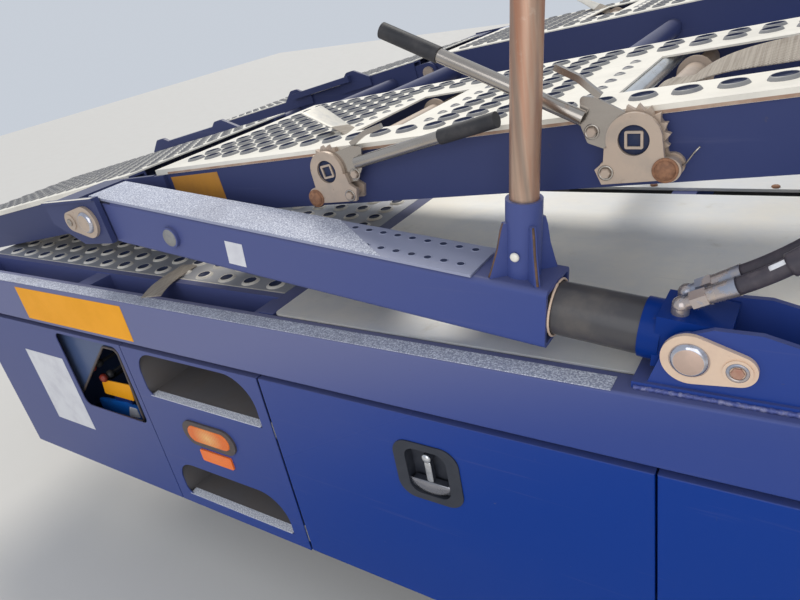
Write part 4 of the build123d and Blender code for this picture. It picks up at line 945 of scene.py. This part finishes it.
# %% [markdown]
# Small things show how the vehicle was made and used: the weld bead along the foot bracket, with
# pale patches as painted highlights, the ring on the arm's open end, rust on the post's gussets, a
# cotter wire, a painted highlight along the lower treads' near edge and on the knuckle's lip, which is
# also worn bare, a rusty line under the plates' lips, and a flat brace in the well.

# %% Welds, ring, edges and brace
def bead(line, radius, pitch, wobble):
    """A tube whose radius swells and shrinks in ripples: radius (1 + wobble sin(2 pi along / pitch))."""
    return tube(line, radius * (1 + wobble * np.sin(2 * math.pi * distance_along(line) / pitch)), 8)


bracket_low, bracket_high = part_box("foot_brackets")
plates_low, plates_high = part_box("traction_deck_plates")
weld_x = np.linspace(bracket_low[0] * 1000 + 4, bracket_high[0] * 1000 - 4, 420)
weld_inset, weld_height = bracket_low[1] * 1000 + half_width - 1.5, 209
weld = bead(path(-weld_x, weld_inset, weld_height), 4.2, 11, 0.14)
add_both("bracket_weld", level, weld, "root", "blue_paint", "weld_metal")
barrel_inset = 84
seal_back, seal_radius = 221.0, 49.5
angle = around(32)
seal = path(seal_back, barrel_inset + seal_radius * np.cos(angle), seal_radius * np.sin(angle))
add_both("arm_seal", arm, tube(seal, 2.2, 10, closed=True), "{side}_arm", "black_rubber", "pin_steel")
post_back, socket_top = 285, 55
away, rise = np.array([(60, 1), (56, 12), (45.5, 48), (39.5, 82), (35.5, 95)]).T
for number, turn in enumerate(np.radians((45, 135, 225, 315)), 1):
    edge = path(post_back - away * math.cos(turn), barrel_inset + away * math.sin(turn), socket_top + rise)
    add_both(f"gusset_rust_{number}", arm, tube(edge, 2.6, 8), "{side}_arm", "blue_paint", "dark_rust")
cotter = np.array([(-690, 184, 508), (-703, 184, 516), (-714, 183, 532), (-722, 182, 541)])
add_both("cotter_wire", level, tube(cotter, 1.4, 8), "upper_deck", "zinc_steel", "handle_steel")
beam_inset, film = 196.5, 0.4
stain = upright(corners(-75, 50.4, -2140, 55.5), beam_inset - film, beam_inset - gap)
add_both("lip_stain", deck, stain, "upper_deck", "traction_plate", "lip_stain", False)
# painted highlights: a pale strip along the lower treads' near edge, and one on the knuckle's lip, which is
# also worn bare
edge_inset, edge_top, knuckle_top = plates_low[1] * 1000 + half_width, plates_high[2] * 1000, 58
edge = corners(-plates_high[0] * 1000, edge_inset, -plates_low[0] * 1000, edge_inset + 4)
bare = slab(edge, edge_top, edge_top + film)
add_both("plate_edge_highlight", level, bare, "root", "traction_plate", "rim_steel", False)
bare = slab(corners(2204, 4.4, 2428, 15), knuckle_top, knuckle_top + film)
add_both("knuckle_lip_highlight", deck, bare, "upper_deck", "blue_paint", "rim_steel", False)
line = spline_line(np.array([(567, 44, 207), (585, 80, 212), (605, 150, 212), (622, 228, 207)]))
brace_width, brace_thickness = 58, 5
brace = ribbon(line, brace_width, brace_thickness, np.zeros(len(line)))
add_both("well_brace", level, brace, "root", "strap_webbing", "strap_webbing")
print("weld inset", round(weld_inset, 1), "plates' top", round(edge_top, 1))

# %% [markdown]
# A pale floor lies under the body at the height of a real road. A soft sun, a wide fill light on the
# near side and a pale sky light it evenly, so a colour renders about as it is written.

# %% Floor and light
floor_height, reach = -0.804, 14
mesh = bpy.data.meshes.new("floor")
floor_corners = [(x, y, floor_height) for x, y in corners(-reach, -reach, reach, reach)]
mesh.from_pydata(floor_corners, [], [(0, 1, 2, 3)])
floor = bpy.data.objects.new("floor", mesh)
bpy.context.scene.collection.objects.link(floor)
finish("floor_pale", (0.62, 0.6, 0.57), rough=(0.7, 0.8))
mesh.materials.append(finishes["floor_pale"])
world = bpy.data.worlds.new("world")
bpy.context.scene.world = world
world.use_nodes = True
sky_colour, sky_strength = (0.8, 0.86, 0.95), 0.72
sky = world.node_tree.nodes["Background"]
sky.inputs[0].default_value, sky.inputs[1].default_value = (*sky_colour, 1), sky_strength


def add_light(name, kind, energy, facing, place=(0, 0, 0)):
    """A light that shines along a direction; gives its data."""
    light = bpy.data.lights.new(name, kind)
    light.energy = energy
    holder = bpy.data.objects.new(name, light)
    holder.location = place
    holder.rotation_euler = Vector(facing).to_track_quat("-Z", "Y").to_euler()
    bpy.context.scene.collection.objects.link(holder)
    return light


sun = add_light("sun", "SUN", 1.9, (0.35, -0.55, -0.75))
sun.angle = 0.35
sun.color = (1.0, 0.96, 0.88)
fill_place = Vector((1.2, -4.6, 1.6))
add_light("fill", "AREA", 55, Vector((0.0, -1.2, 0.0)) - fill_place, fill_place).size = 3.5
bpy.context.scene.view_settings.view_transform = "Standard"
print("floor at", floor_height)
